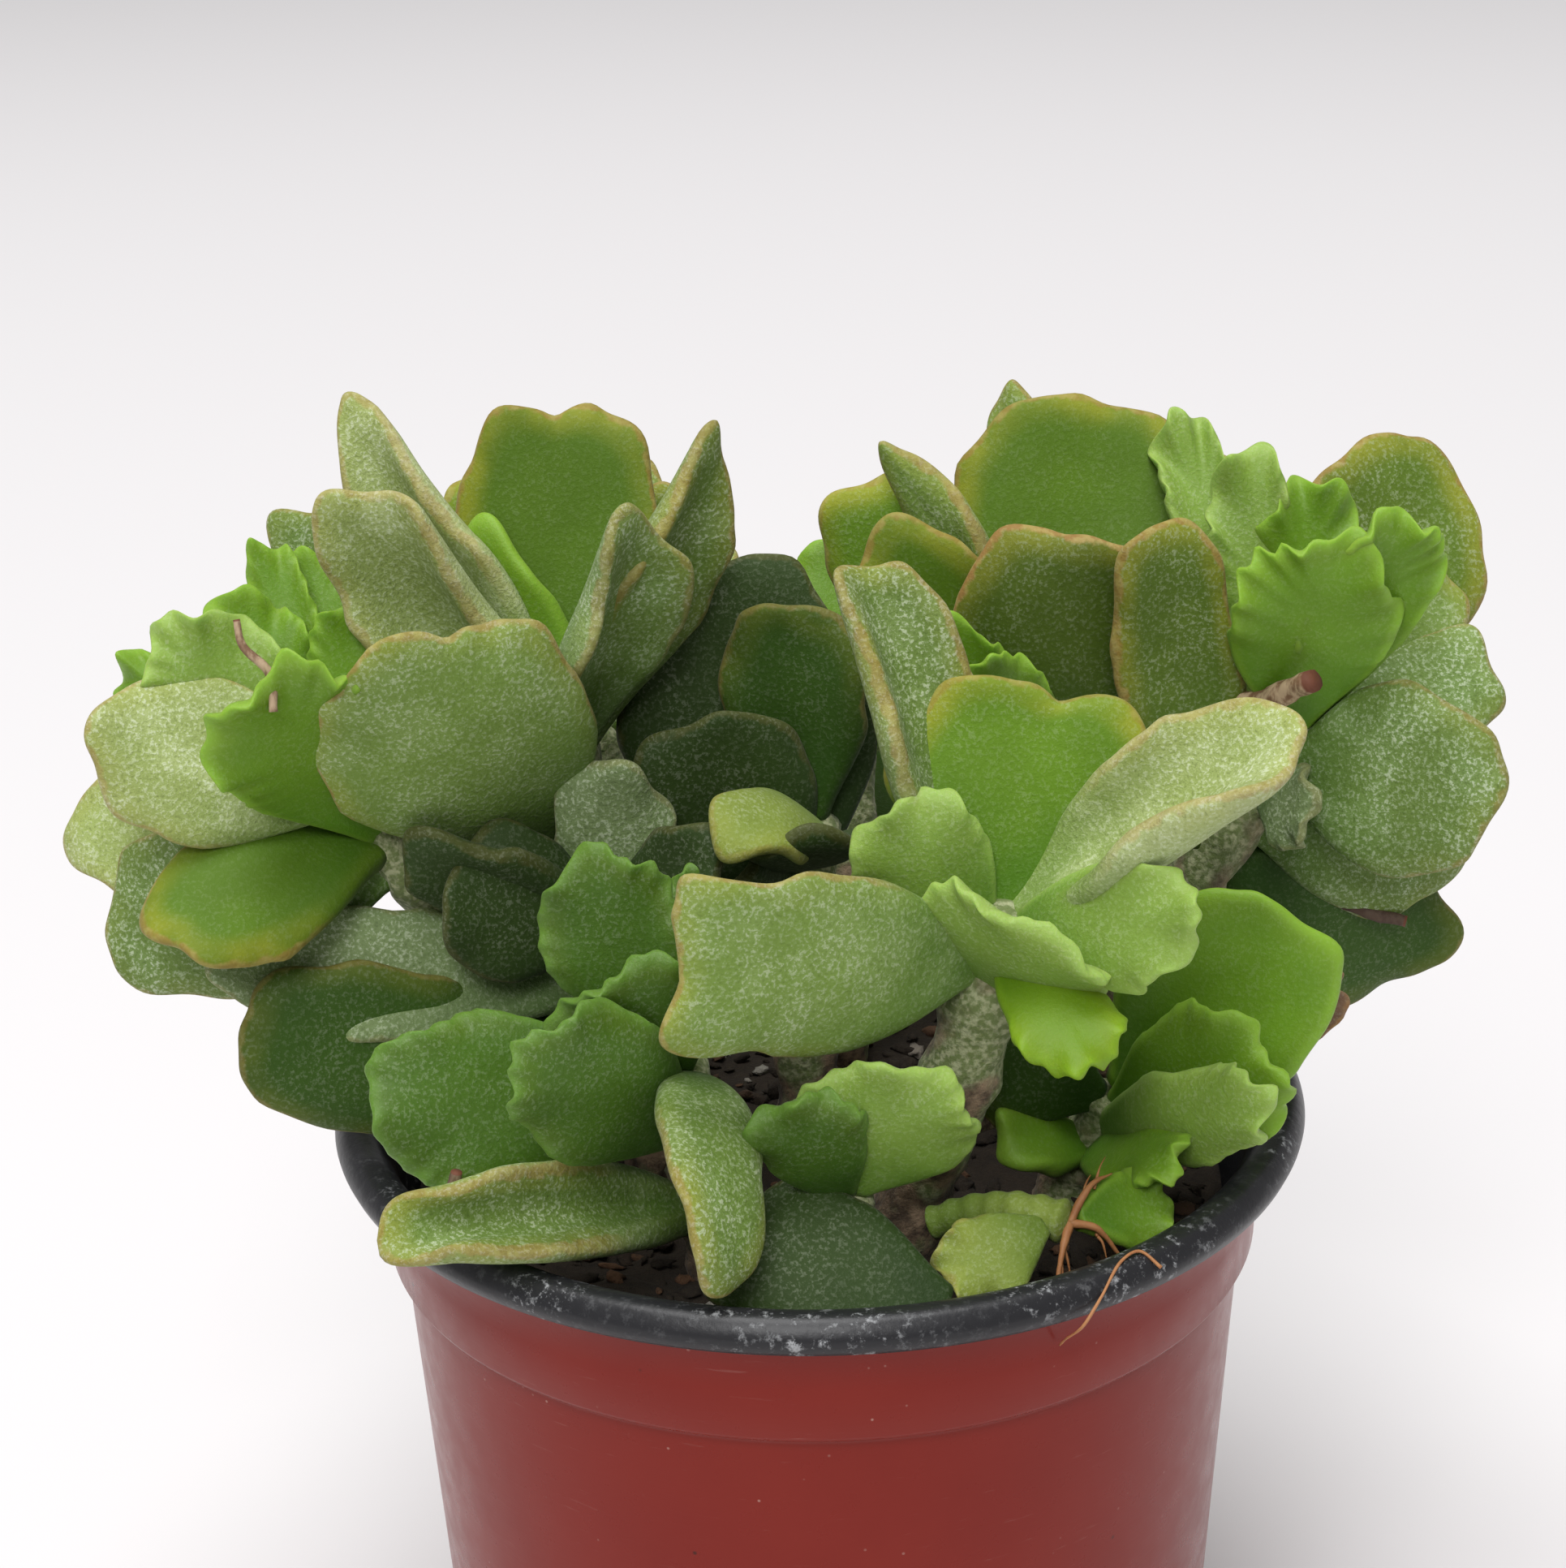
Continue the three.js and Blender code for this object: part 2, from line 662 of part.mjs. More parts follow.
// One leaf as a closed lens-shaped blade with a waved edge.
// swell makes it that much bigger all round, for the clear space that its neighbours keep.
function leafSolid(leaf, base, phase, swell) {
  const kind = { ...leaf.kind, ...leaf };
  const steps = LEAF_STEPS;
  const tip = new THREE.Vector3(...leaf.tip);
  const alongAxis = tip.clone().sub(base);
  const chord = alongAxis.length() + swell;
  alongAxis.normalize();
  const [bearing, height] = leaf.face.map((angle) => angle * degrees);
  const faceAxis = new THREE.Vector3(
    Math.sin(bearing) * Math.cos(height),
    -Math.cos(bearing) * Math.cos(height),
    Math.sin(height),
  );
  faceAxis.addScaledVector(alongAxis, -faceAxis.dot(alongAxis)).normalize();
  const acrossAxis = alongAxis.clone().cross(faceAxis);

  const bend = (leaf.bend || 0.01) * degrees;
  const twist = (leaf.twist || 0) * degrees;
  const length = (chord * (bend / 2)) / Math.sin(bend / 2);
  const halfWidth = leaf.width / 2 + swell;
  const halfThick = kind.thick / 2 + swell;
  const stalkShare = Math.min((kind.stalk / 2 + swell) / halfWidth, 0.9);
  const roll = ((leaf.cup || 0.01) * degrees) / halfWidth;

  // A point of the flat leaf, x across, y along and z towards its face, put where it belongs in the plant
  function placed(x, y, z) {
    const rollAngle = x * roll;
    const rolledX = (1 / roll - z) * Math.sin(rollAngle);
    const rolledZ = 1 / roll - (1 / roll - z) * Math.cos(rollAngle);
    const turn = twist * (y / length);
    const turnedX = rolledX * Math.cos(turn) - rolledZ * Math.sin(turn);
    const turnedZ = rolledX * Math.sin(turn) + rolledZ * Math.cos(turn);
    const bendRadius = length / bend;
    const bendAngle = y / bendRadius;
    const bentY = (bendRadius - turnedZ) * Math.sin(bendAngle);
    const bentZ = bendRadius - (bendRadius - turnedZ) * Math.cos(bendAngle);
    const endY = bentY * Math.cos(bend / 2) + bentZ * Math.sin(bend / 2);
    const endZ = bentZ * Math.cos(bend / 2) - bentY * Math.sin(bend / 2);
    return base
      .clone()
      .addScaledVector(acrossAxis, turnedX)
      .addScaledVector(alongAxis, endY)
      .addScaledVector(faceAxis, endZ)
      .toArray();
  }

  // The point of the blade at a place on the outline and a share of the way out to the edge, on one face
  function bladePoint(index, out, side) {
    const half = index <= steps ? index : 2 * steps - index;
    const hand = index <= steps ? -1 : 1;
    const fromTip = hand * (1 - half / steps);
    const outline = outlineAt(half / steps, kind, stalkShare);
    const crestShare = THREE.MathUtils.smoothstep(outline.along, WAVE_START, WAVE_FULL);
    const swing = Math.PI * kind.waves * fromTip;
    const scallop = 1 + kind.scallop * crestShare * Math.cos(swing * SCALLOP_RATE + phase * 2);
    const along = length * outline.along * scallop;
    const spineAlong = length * SPINE_REACH * outline.along;
    const x = hand * halfWidth * outline.across * scallop * out;
    const y = spineAlong + (along - spineAlong) * out;
    const wave = kind.ruffle * crestShare * out ** 3 * Math.cos(swing + phase);
    const thin = 1 - TIP_THINNING * outline.along ** 2;
    return placed(x, y, wave + side * halfThick * thin * Math.sqrt(1 - out ** EDGE_ROUND));
  }

  const positions = [];
  const rows = {};
  function addRow(name, out, side) {
    rows[name] = [];
    for (let index = 0; index <= 2 * steps; index += 1) {
      const sharedSpine = out === 0 && index > steps;
      if (sharedSpine) {
        rows[name].push(rows[name][2 * steps - index]);
      } else {
        rows[name].push(positions.length);
        positions.push(bladePoint(index, out, side));
      }
    }
  }
  const hasShelf = leaf.width > SHELF_FROM_WIDTH;
  addRow("edge", 1, 1);
  addRow("upperSpine", 0, 1);
  addRow("lowerSpine", 0, -1);
  if (hasShelf) {
    addRow("upperShelf", SHELF, 1);
    addRow("lowerShelf", SHELF, -1);
  }

  const triangles = [];
  function addStrip(inner, outer, flipped) {
    for (let index = 0; index < 2 * steps; index += 1) {
      const [a, b, c, d] = [inner[index], inner[index + 1], outer[index + 1], outer[index]];
      triangles.push(flipped ? [a, c, b] : [a, b, c], flipped ? [a, d, c] : [a, c, d]);
    }
  }
  const end = 2 * steps;
  const foot = [rows.edge[0]];
  if (hasShelf) {
    addStrip(rows.upperSpine, rows.upperShelf, false);
    addStrip(rows.upperShelf, rows.edge, false);
    addStrip(rows.lowerSpine, rows.lowerShelf, true);
    addStrip(rows.lowerShelf, rows.edge, true);
    foot.push(rows.upperShelf[0], rows.upperSpine[0], rows.upperShelf[end], rows.edge[end]);
    foot.push(rows.lowerShelf[end], rows.lowerSpine[0], rows.lowerShelf[0]);
  } else {
    addStrip(rows.upperSpine, rows.edge, false);
    addStrip(rows.lowerSpine, rows.edge, true);
    foot.push(rows.upperSpine[0], rows.edge[end], rows.lowerSpine[0]);
  }
  for (let corner = 1; corner < foot.length - 1; corner += 1) {
    triangles.push([foot[0], foot[corner + 1], foot[corner]]);
  }
  return solidOf(geometryFrom(positions, triangles));
}

// Where a leaf starts, inside its stem and a little way from the axis towards the leaf's tip
function leafRoot(curve, leaf) {
  const onAxis = curve.getPointAt(Math.min(leaf.at, HIGHEST_LEAF));
  const towardsTip = new THREE.Vector3(...leaf.tip).sub(onAxis).normalize();
  return onAxis.addScaledVector(towardsTip, LEAF_ROOT);
}

// A stem with its leaves, joined into one body
function leafyStem(stem, seed, swell) {
  const random = seededRandom(seed);
  const curve = new THREE.CatmullRomCurve3(stem.axis.map((p) => new THREE.Vector3(...p)));
  const knobs = (share) => 1 + (KNOB_SWELL - 1) * Math.cos(share * KNOB_RATE);
  const radiusAt = (share) => (stem.foot + (stem.top - stem.foot) * share) * knobs(share) + swell;
  let solid = taperedBar(stem.axis, radiusAt, STEM_STEPS, STEM_SIDES);
  for (const leaf of stem.leaves) {
    const phase = random() * 2 * Math.PI;
    solid = solid.add(leafSolid(leaf, leafRoot(curve, leaf), phase, swell));
  }
  const top = stem.axis[stem.axis.length - 1];
  for (const rootTip of stem.roots || []) {
    const middle = top.map((value, i) => (value + rootTip[i]) / 2 + (i === 2 ? ROOT_ARCH : 0));
    solid = solid.add(taperedBar([top, middle, rootTip], () => ROOT_RADIUS + swell, ROOT_STEPS, ROOT_SIDES));
  }
  return solid;
}

// The pot, turned from one closed outline, with its drain holes cut
function potSolid() {
  const outline = [
    [0, 0],
    [BASE_RADIUS - BASE_EDGE, 0],
    [BASE_RADIUS, BASE_EDGE],
    [BODY_TOP_RADIUS, BODY_TOP],
    [COLLAR_RADIUS - COLLAR_DRAFT, COLLAR_FOOT],
    [COLLAR_RADIUS, COLLAR_TOP],
    [RIM_RADIUS - 0.4, POT_HEIGHT - 2.9],
    [RIM_RADIUS, POT_HEIGHT - 1.9],
    [RIM_RADIUS - 1.2, POT_HEIGHT],
    [RIM_RADIUS - 3, POT_HEIGHT - 0.1],
    [RIM_RADIUS - 4.1, POT_HEIGHT - 1.2],
    [COLLAR_RADIUS - WALL, COLLAR_TOP],
    [COLLAR_RADIUS - COLLAR_DRAFT - WALL, COLLAR_FOOT],
    [BODY_TOP_RADIUS - WALL, BODY_TOP],
    [BASE_RADIUS - WALL, FLOOR],
    [0, FLOOR],
  ];
  const points = outline.map(([radius, height]) => new THREE.Vector2(radius, height));
  let solid = solidOf(new THREE.LatheGeometry(points, POT_SIDES).rotateX(Math.PI / 2));
  const drillLength = 4 * FLOOR;
  for (let hole = 0; hole < DRAIN_HOLES; hole += 1) {
    const angle = (hole / DRAIN_HOLES) * 2 * Math.PI;
    const radius = DRAIN_HOLE_RADIUS;
    const drill = new THREE.CylinderGeometry(radius, radius, drillLength, DRAIN_HOLE_SIDES)
      .rotateX(Math.PI / 2)
      .translate(DRAIN_CIRCLE_RADIUS * Math.cos(angle), DRAIN_CIRCLE_RADIUS * Math.sin(angle), 0);
    solid = solid.subtract(solidOf(drill));
  }
  return solid;
}

// The soil, a plug with a lumpy top
function soilSolid() {
  const random = seededRandom(SOIL_SEED);
  const floor = FLOOR + GAP;
  const wallAt = (height) => {
    const share = height / BODY_TOP;
    const flatSides = Math.cos(Math.PI / POT_SIDES);
    return (BASE_RADIUS + (BODY_TOP_RADIUS - BASE_RADIUS) * share - WALL) * flatSides - GAP;
  };
  const positions = [[0, 0, floor], [0, 0, SOIL_TOP]];
  const ringAt = (radius, height, lump) => {
    for (let side = 0; side < SOIL_SIDES; side += 1) {
      const angle = (side / SOIL_SIDES) * 2 * Math.PI;
      const z = height + lump * (random() * 2 - 1);
      positions.push([radius * Math.cos(angle), radius * Math.sin(angle), z]);
    }
  };
  ringAt(wallAt(floor), floor, 0);
  ringAt(wallAt(SOIL_SHOULDER), SOIL_SHOULDER, 0);
  for (let ring = SOIL_RINGS; ring >= 1; ring -= 1) {
    ringAt((wallAt(SOIL_SHOULDER) * ring) / SOIL_RINGS, SOIL_TOP, SOIL_LUMP);
  }
  const triangles = [];
  const rings = SOIL_RINGS + 2;
  for (let side = 0; side < SOIL_SIDES; side += 1) {
    const next = (side + 1) % SOIL_SIDES;
    triangles.push([0, 2 + next, 2 + side]);
    for (let ring = 0; ring < rings - 1; ring += 1) {
      const low = 2 + ring * SOIL_SIDES;
      const high = low + SOIL_SIDES;
      triangles.push([low + side, low + next, high + next], [low + side, high + next, high + side]);
    }
    const last = 2 + (rings - 1) * SOIL_SIDES;
    triangles.push([1, last + side, last + next]);
  }
  return solidOf(geometryFrom(positions, triangles));
}

// The plain hole in the soil that a stem stands in
function stemHole(stem) {
  const curve = new THREE.CatmullRomCurve3(stem.axis.map((p) => new THREE.Vector3(...p)));
  const foot = curve.getPointAt(0);
  const top = curve.getPointAt(HOLE_LENGTH / curve.getLength());
  const below = foot.clone().addScaledVector(top.clone().sub(foot).normalize(), -GAP);
  const radius = Math.max(stem.foot, stem.top) * KNOB_SWELL + HOLE_CLEARANCE;
  return taperedBar([below.toArray(), top.toArray()], () => radius, 1, HOLE_SIDES);
}

// Keeps the biggest body of a cut solid and drops loose scraps
function biggestBody(solid) {
  const bodies = solid.decompose();
  return bodies.reduce((best, body) => (body.volume() > best.volume() ? body : best));
}

const plant = new THREE.Group();

function addNode(name, solid, colour, roughness) {
  const material = new THREE.MeshStandardMaterial({ color: colour, roughness, metalness: 0 });
  const mesh = new THREE.Mesh(geometryOf(solid), material);
  mesh.name = name;
  plant.add(mesh);
}

// Cuts away what comes closer than the gap to a stem that was made earlier
const clearings = [];
function clearOfEarlierStems(solid) {
  const cleared = clearings.reduce((rest, clearing) => rest.subtract(clearing), solid);
  return biggestBody(cleared);
}

addNode("pot", potSolid(), "#8a2f22", 0.45);

let soil = soilSolid();
STEMS.forEach((stem, index) => {
  const seed = FIRST_STEM_SEED + index;
  addNode(stem.name, clearOfEarlierStems(leafyStem(stem, seed, 0)), stem.colour, 0.6);
  clearings.push(leafyStem(stem, seed, GAP));
  const standsInSoil = stem.axis[0][2] < SOIL_TOP;
  if (standsInSoil) {
    soil = soil.subtract(stemHole(stem));
  }
});

const fallenLeaf = leafSolid(FALLEN_LEAF, new THREE.Vector3(...FALLEN_LEAF.from), FALLEN_LEAF.phase, 0);
addNode("fallen_leaf", clearOfEarlierStems(fallenLeaf), "#3f5c33", 0.6);
addNode("soil", biggestBody(soil), "#2a2019", 0.95);

export default plant;
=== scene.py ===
"""The looks of the potted crinkle-leaf plant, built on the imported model.

Sizes and places are in millimetres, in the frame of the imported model: +Z is up, the pot stands on Z = 0
with its axis on the Z axis, and the front of the plant faces -Y. Only the studio and the camera are given
in metres, and the meshes are made in metres.
"""
import math

import bmesh
import bpy
import numpy as np
from mathutils import Matrix, Vector, noise


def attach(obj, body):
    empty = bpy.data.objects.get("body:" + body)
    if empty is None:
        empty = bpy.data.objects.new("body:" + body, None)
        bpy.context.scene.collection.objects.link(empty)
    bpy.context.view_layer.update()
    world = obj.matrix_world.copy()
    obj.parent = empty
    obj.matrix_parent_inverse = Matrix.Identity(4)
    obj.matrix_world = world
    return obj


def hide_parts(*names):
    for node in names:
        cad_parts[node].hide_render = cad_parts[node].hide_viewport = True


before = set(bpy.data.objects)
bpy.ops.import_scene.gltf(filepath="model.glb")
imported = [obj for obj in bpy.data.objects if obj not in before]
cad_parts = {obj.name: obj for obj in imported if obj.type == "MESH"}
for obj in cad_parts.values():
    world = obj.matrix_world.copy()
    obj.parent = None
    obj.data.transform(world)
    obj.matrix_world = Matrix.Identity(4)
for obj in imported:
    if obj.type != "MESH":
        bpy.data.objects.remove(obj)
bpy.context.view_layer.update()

MM = 0.001

# The pot, a 9 cm nursery pot with a collar below its rolled rim
POT_HEIGHT = 78
RIM_RADIUS = 45
COLLAR_RADIUS = 41
COLLAR_TOP = 74
COLLAR_FOOT = 64.5
COLLAR_DRAFT = 0.3
BODY_TOP = 63.6
BODY_TOP_RADIUS = 39.4
BASE_RADIUS = 35.3
BASE_EDGE = 0.8
WALL = 1.2
FLOOR = 1.6
DRAIN_HOLES = 8
DRAIN_HOLE_RADIUS = 3.5
DRAIN_CIRCLE_RADIUS = 25
POT_SIDES = 192

# The soil in it, and its crumbs of bark and peat, with the least radius of a crumb and how much it grows
SOIL_TOP = 68
SOIL_SHOULDER = 61.5
SOIL_GAP = 0.35
SOIL_SIDES = 96
SOIL_RINGS = 30
SOIL_LUMP = 1.1
CRUMBS = 900
CRUMB_SEED = 21
CRUMB_RADIUS = 0.35
CRUMB_GROWTH = 1.1
CRUMB_TO_WALL = 1.2

# The mesh of a leaf: steps from stalk to tip on each side, the rings from its spine to its edge, and the
# share of the steps along the straight sides
LEAF_STEPS = 44
LEAF_RINGS = (0, 0.25, 0.45, 0.6, 0.72, 0.81, 0.88, 0.93, 0.965, 0.988, 1)
SIDE_SHARE = 0.34

# How far up the leaf its spine reaches, where its edge starts to wave and where it waves in full,
# how much thinner the tip is, how round the edge is, how much faster the outline swings in and out
# than up and down, and how far the blade swells and sinks in slow bellies
SPINE_REACH = 0.74
WAVE_START = 0.25
WAVE_FULL = 0.6
TIP_THINNING = 0.3
EDGE_ROUND = 5
SCALLOP_RATE = 1.3
BELLY = 0.28

# The bend or cup, in degrees, that stands for none, so that nothing is divided by zero
NO_TURN = 0.01

# How far from the stem's axis a leaf starts, inside the stem, and how far up the stem the highest ones do
LEAF_ROOT = 1.6
HIGHEST_LEAF = 0.94

# The mesh of a stem: its knobs, the share of its height over which its top closes, the radius of the foot
# from which it is old and barky, and how rough old and young skin is
STEM_STEPS = 70
STEM_SIDES = 22
KNOB_SWELL = 1.06
KNOB_RATE = 40
CLOSING_TOP = 0.06
SMALLEST_TOP = 0.02
BARK_FROM_FOOT = 2
BARK_ROUGH = 0.35
SKIN_ROUGH = 0.1
FIRST_STEM_SEED = 11

# The roots of the cutting, thick and thin, and the arch of a thick one
ROOT_RADIUS = 0.45
SIDE_ROOT_RADIUS = 0.16
ROOT_ARCH = 1.2
ROOT_TAPER = 0.72
ROOT_STEPS = 26
ROOT_SIDES = 8
SIDE_ROOTS = 2

# How each kind of leaf is shaped. thick and stalk, the width of its foot, are in mm.
# The sides widen up to the shoulder, a share of the length: a higher neck keeps them narrow for longer.
# A higher crest makes the end squarer. waves is how often the edge swings between tip and stalk,
# ruffle how far it swings up and down, in mm, and scallop how far in and out, as a share.
# The fine crimps of the edge are crimp mm high, notch mm deep and pitch mm apart, and lobe is the depth
# of its slow irregular lobes, in mm. A higher fold keeps the crimps nearer to the edge.
MATURE = {
    "thick": 3, "stalk": 4, "shoulder": 0.56, "crest": 2.1, "neck": 1.3, "waves": 2.6, "ruffle": 0.8,
    "scallop": 0.03, "crimp": 0.1, "notch": 0.08, "pitch": 4.3, "lobe": 0.35, "fold": 8,
}
YOUNG = {
    "thick": 2.4, "stalk": 3.2, "shoulder": 0.6, "crest": 2.2, "neck": 1.3, "waves": 4.2, "ruffle": 0.8,
    "scallop": 0.02, "crimp": 0.45, "notch": 0.17, "pitch": 2.4, "lobe": 0.35, "fold": 8,
}
PLEATED = {**YOUNG, "ruffle": 1.3, "crimp": 0.75, "notch": 0.14, "pitch": 3.1, "fold": 4}
SMALL = {
    "thick": 1.8, "stalk": 2.2, "shoulder": 0.6, "crest": 2.2, "neck": 1.2, "waves": 3.2, "ruffle": 0.8,
    "scallop": 0.04, "crimp": 0.5, "notch": 0.1, "pitch": 2.4, "lobe": 0.15, "fold": 6,
}


def leaf_look(face, back, frost, glow, rim):
    """The colours of a leaf's face and back, how much silvery frost it has, how yellow the band inside its
    edge is and how brown the edge itself. A leaf without a brown edge is young.
    """
    return {"face": face, "back": back, "frost": frost, "glow": glow, "rim": rim}


LOOKS = {
    "bright": leaf_look((0.125, 0.255, 0.012), (0.18, 0.31, 0.03), frost=0.15, glow=0.1, rim=0),
    "pale": leaf_look((0.19, 0.31, 0.045), (0.24, 0.35, 0.08), frost=0.35, glow=0.1, rim=0),
    "leafy": leaf_look((0.055, 0.125, 0.008), (0.09, 0.175, 0.025), frost=0.25, glow=0.1, rim=0),
    "mossy": leaf_look((0.11, 0.18, 0.03), (0.19, 0.26, 0.09), frost=0.9, glow=0.5, rim=0.5),
    "lime": leaf_look((0.13, 0.24, 0.006), (0.15, 0.26, 0.01), frost=0.05, glow=0.2, rim=0),
    "fresh": leaf_look((0.11, 0.22, 0.01), (0.17, 0.27, 0.025), frost=0.25, glow=0.9, rim=0.5),
    "deep": leaf_look((0.075, 0.15, 0.006), (0.13, 0.21, 0.012), frost=0.12, glow=0.75, rim=0.6),
    "grey": leaf_look((0.155, 0.245, 0.045), (0.22, 0.3, 0.105), frost=0.7, glow=0.45, rim=0.6),
    "silver": leaf_look((0.27, 0.34, 0.1), (0.37, 0.43, 0.2), frost=1, glow=0.3, rim=0.5),
    "olive": leaf_look((0.085, 0.145, 0.012), (0.13, 0.19, 0.03), frost=0.5, glow=0.7, rim=0.7),
    "speckled": leaf_look((0.125, 0.2, 0.04), (0.165, 0.25, 0.085), frost=1, glow=0.2, rim=0.4),
    "umber": leaf_look((0.06, 0.1, 0.008), (0.1, 0.14, 0.02), frost=0.3, glow=0.6, rim=0.9),
    # Painted shade: shaded and dark are darker copies of the leaf greens, for leaves that sit in shade deep
    # inside the plant and under it
    "shaded": leaf_look((0.03, 0.075, 0.005), (0.05, 0.095, 0.012), frost=0.2, glow=0.2, rim=0.3),
    "dark": leaf_look((0.024, 0.048, 0.007), (0.04, 0.065, 0.014), frost=0.25, glow=0, rim=0.1),
    "ash": leaf_look((0.15, 0.21, 0.08), (0.19, 0.26, 0.11), frost=0.9, glow=0, rim=0.2),
    "straw": leaf_look((0.18, 0.24, 0.04), (0.2, 0.26, 0.06), frost=0.4, glow=0.2, rim=0.3),
    "dry": leaf_look((0.14, 0.08, 0.045), (0.17, 0.11, 0.07), frost=0.3, glow=0, rim=0.5),
}


def leaf(kind, at, tip, width, face, cup, bend, look, **changes):
    """A leaf that starts on its stem's axis, at a share of the way up, and ends at its tip.

    face is the way the blade looks, as a bearing from the front (90 is +X) and a height above the horizon.
    cup rolls the sides towards that face and bend curves the tip towards it, in degrees. dents are dips in
    the edge, each with its place, from -1 at one side's foot over 0 at the tip to 1, its depth in mm and its
    width as a share like the place. A depth below 0 is a bulge.
    """
    own = {"at": at, "tip": tip, "width": width, "face": face, "cup": cup, "bend": bend, "look": look}
    return {"twist": 0, "dents": (), **kind, **own, **changes}


def stem(name, foot, top, axis, leaves, roots=()):
    """A leafy stem: its radius at the foot and at the top, the points its axis runs through, and its leaves.

    roots are the points where the roots of a cutting end.
    """
    return {"name": name, "foot": foot, "top": top, "axis": axis, "leaves": leaves, "roots": roots}


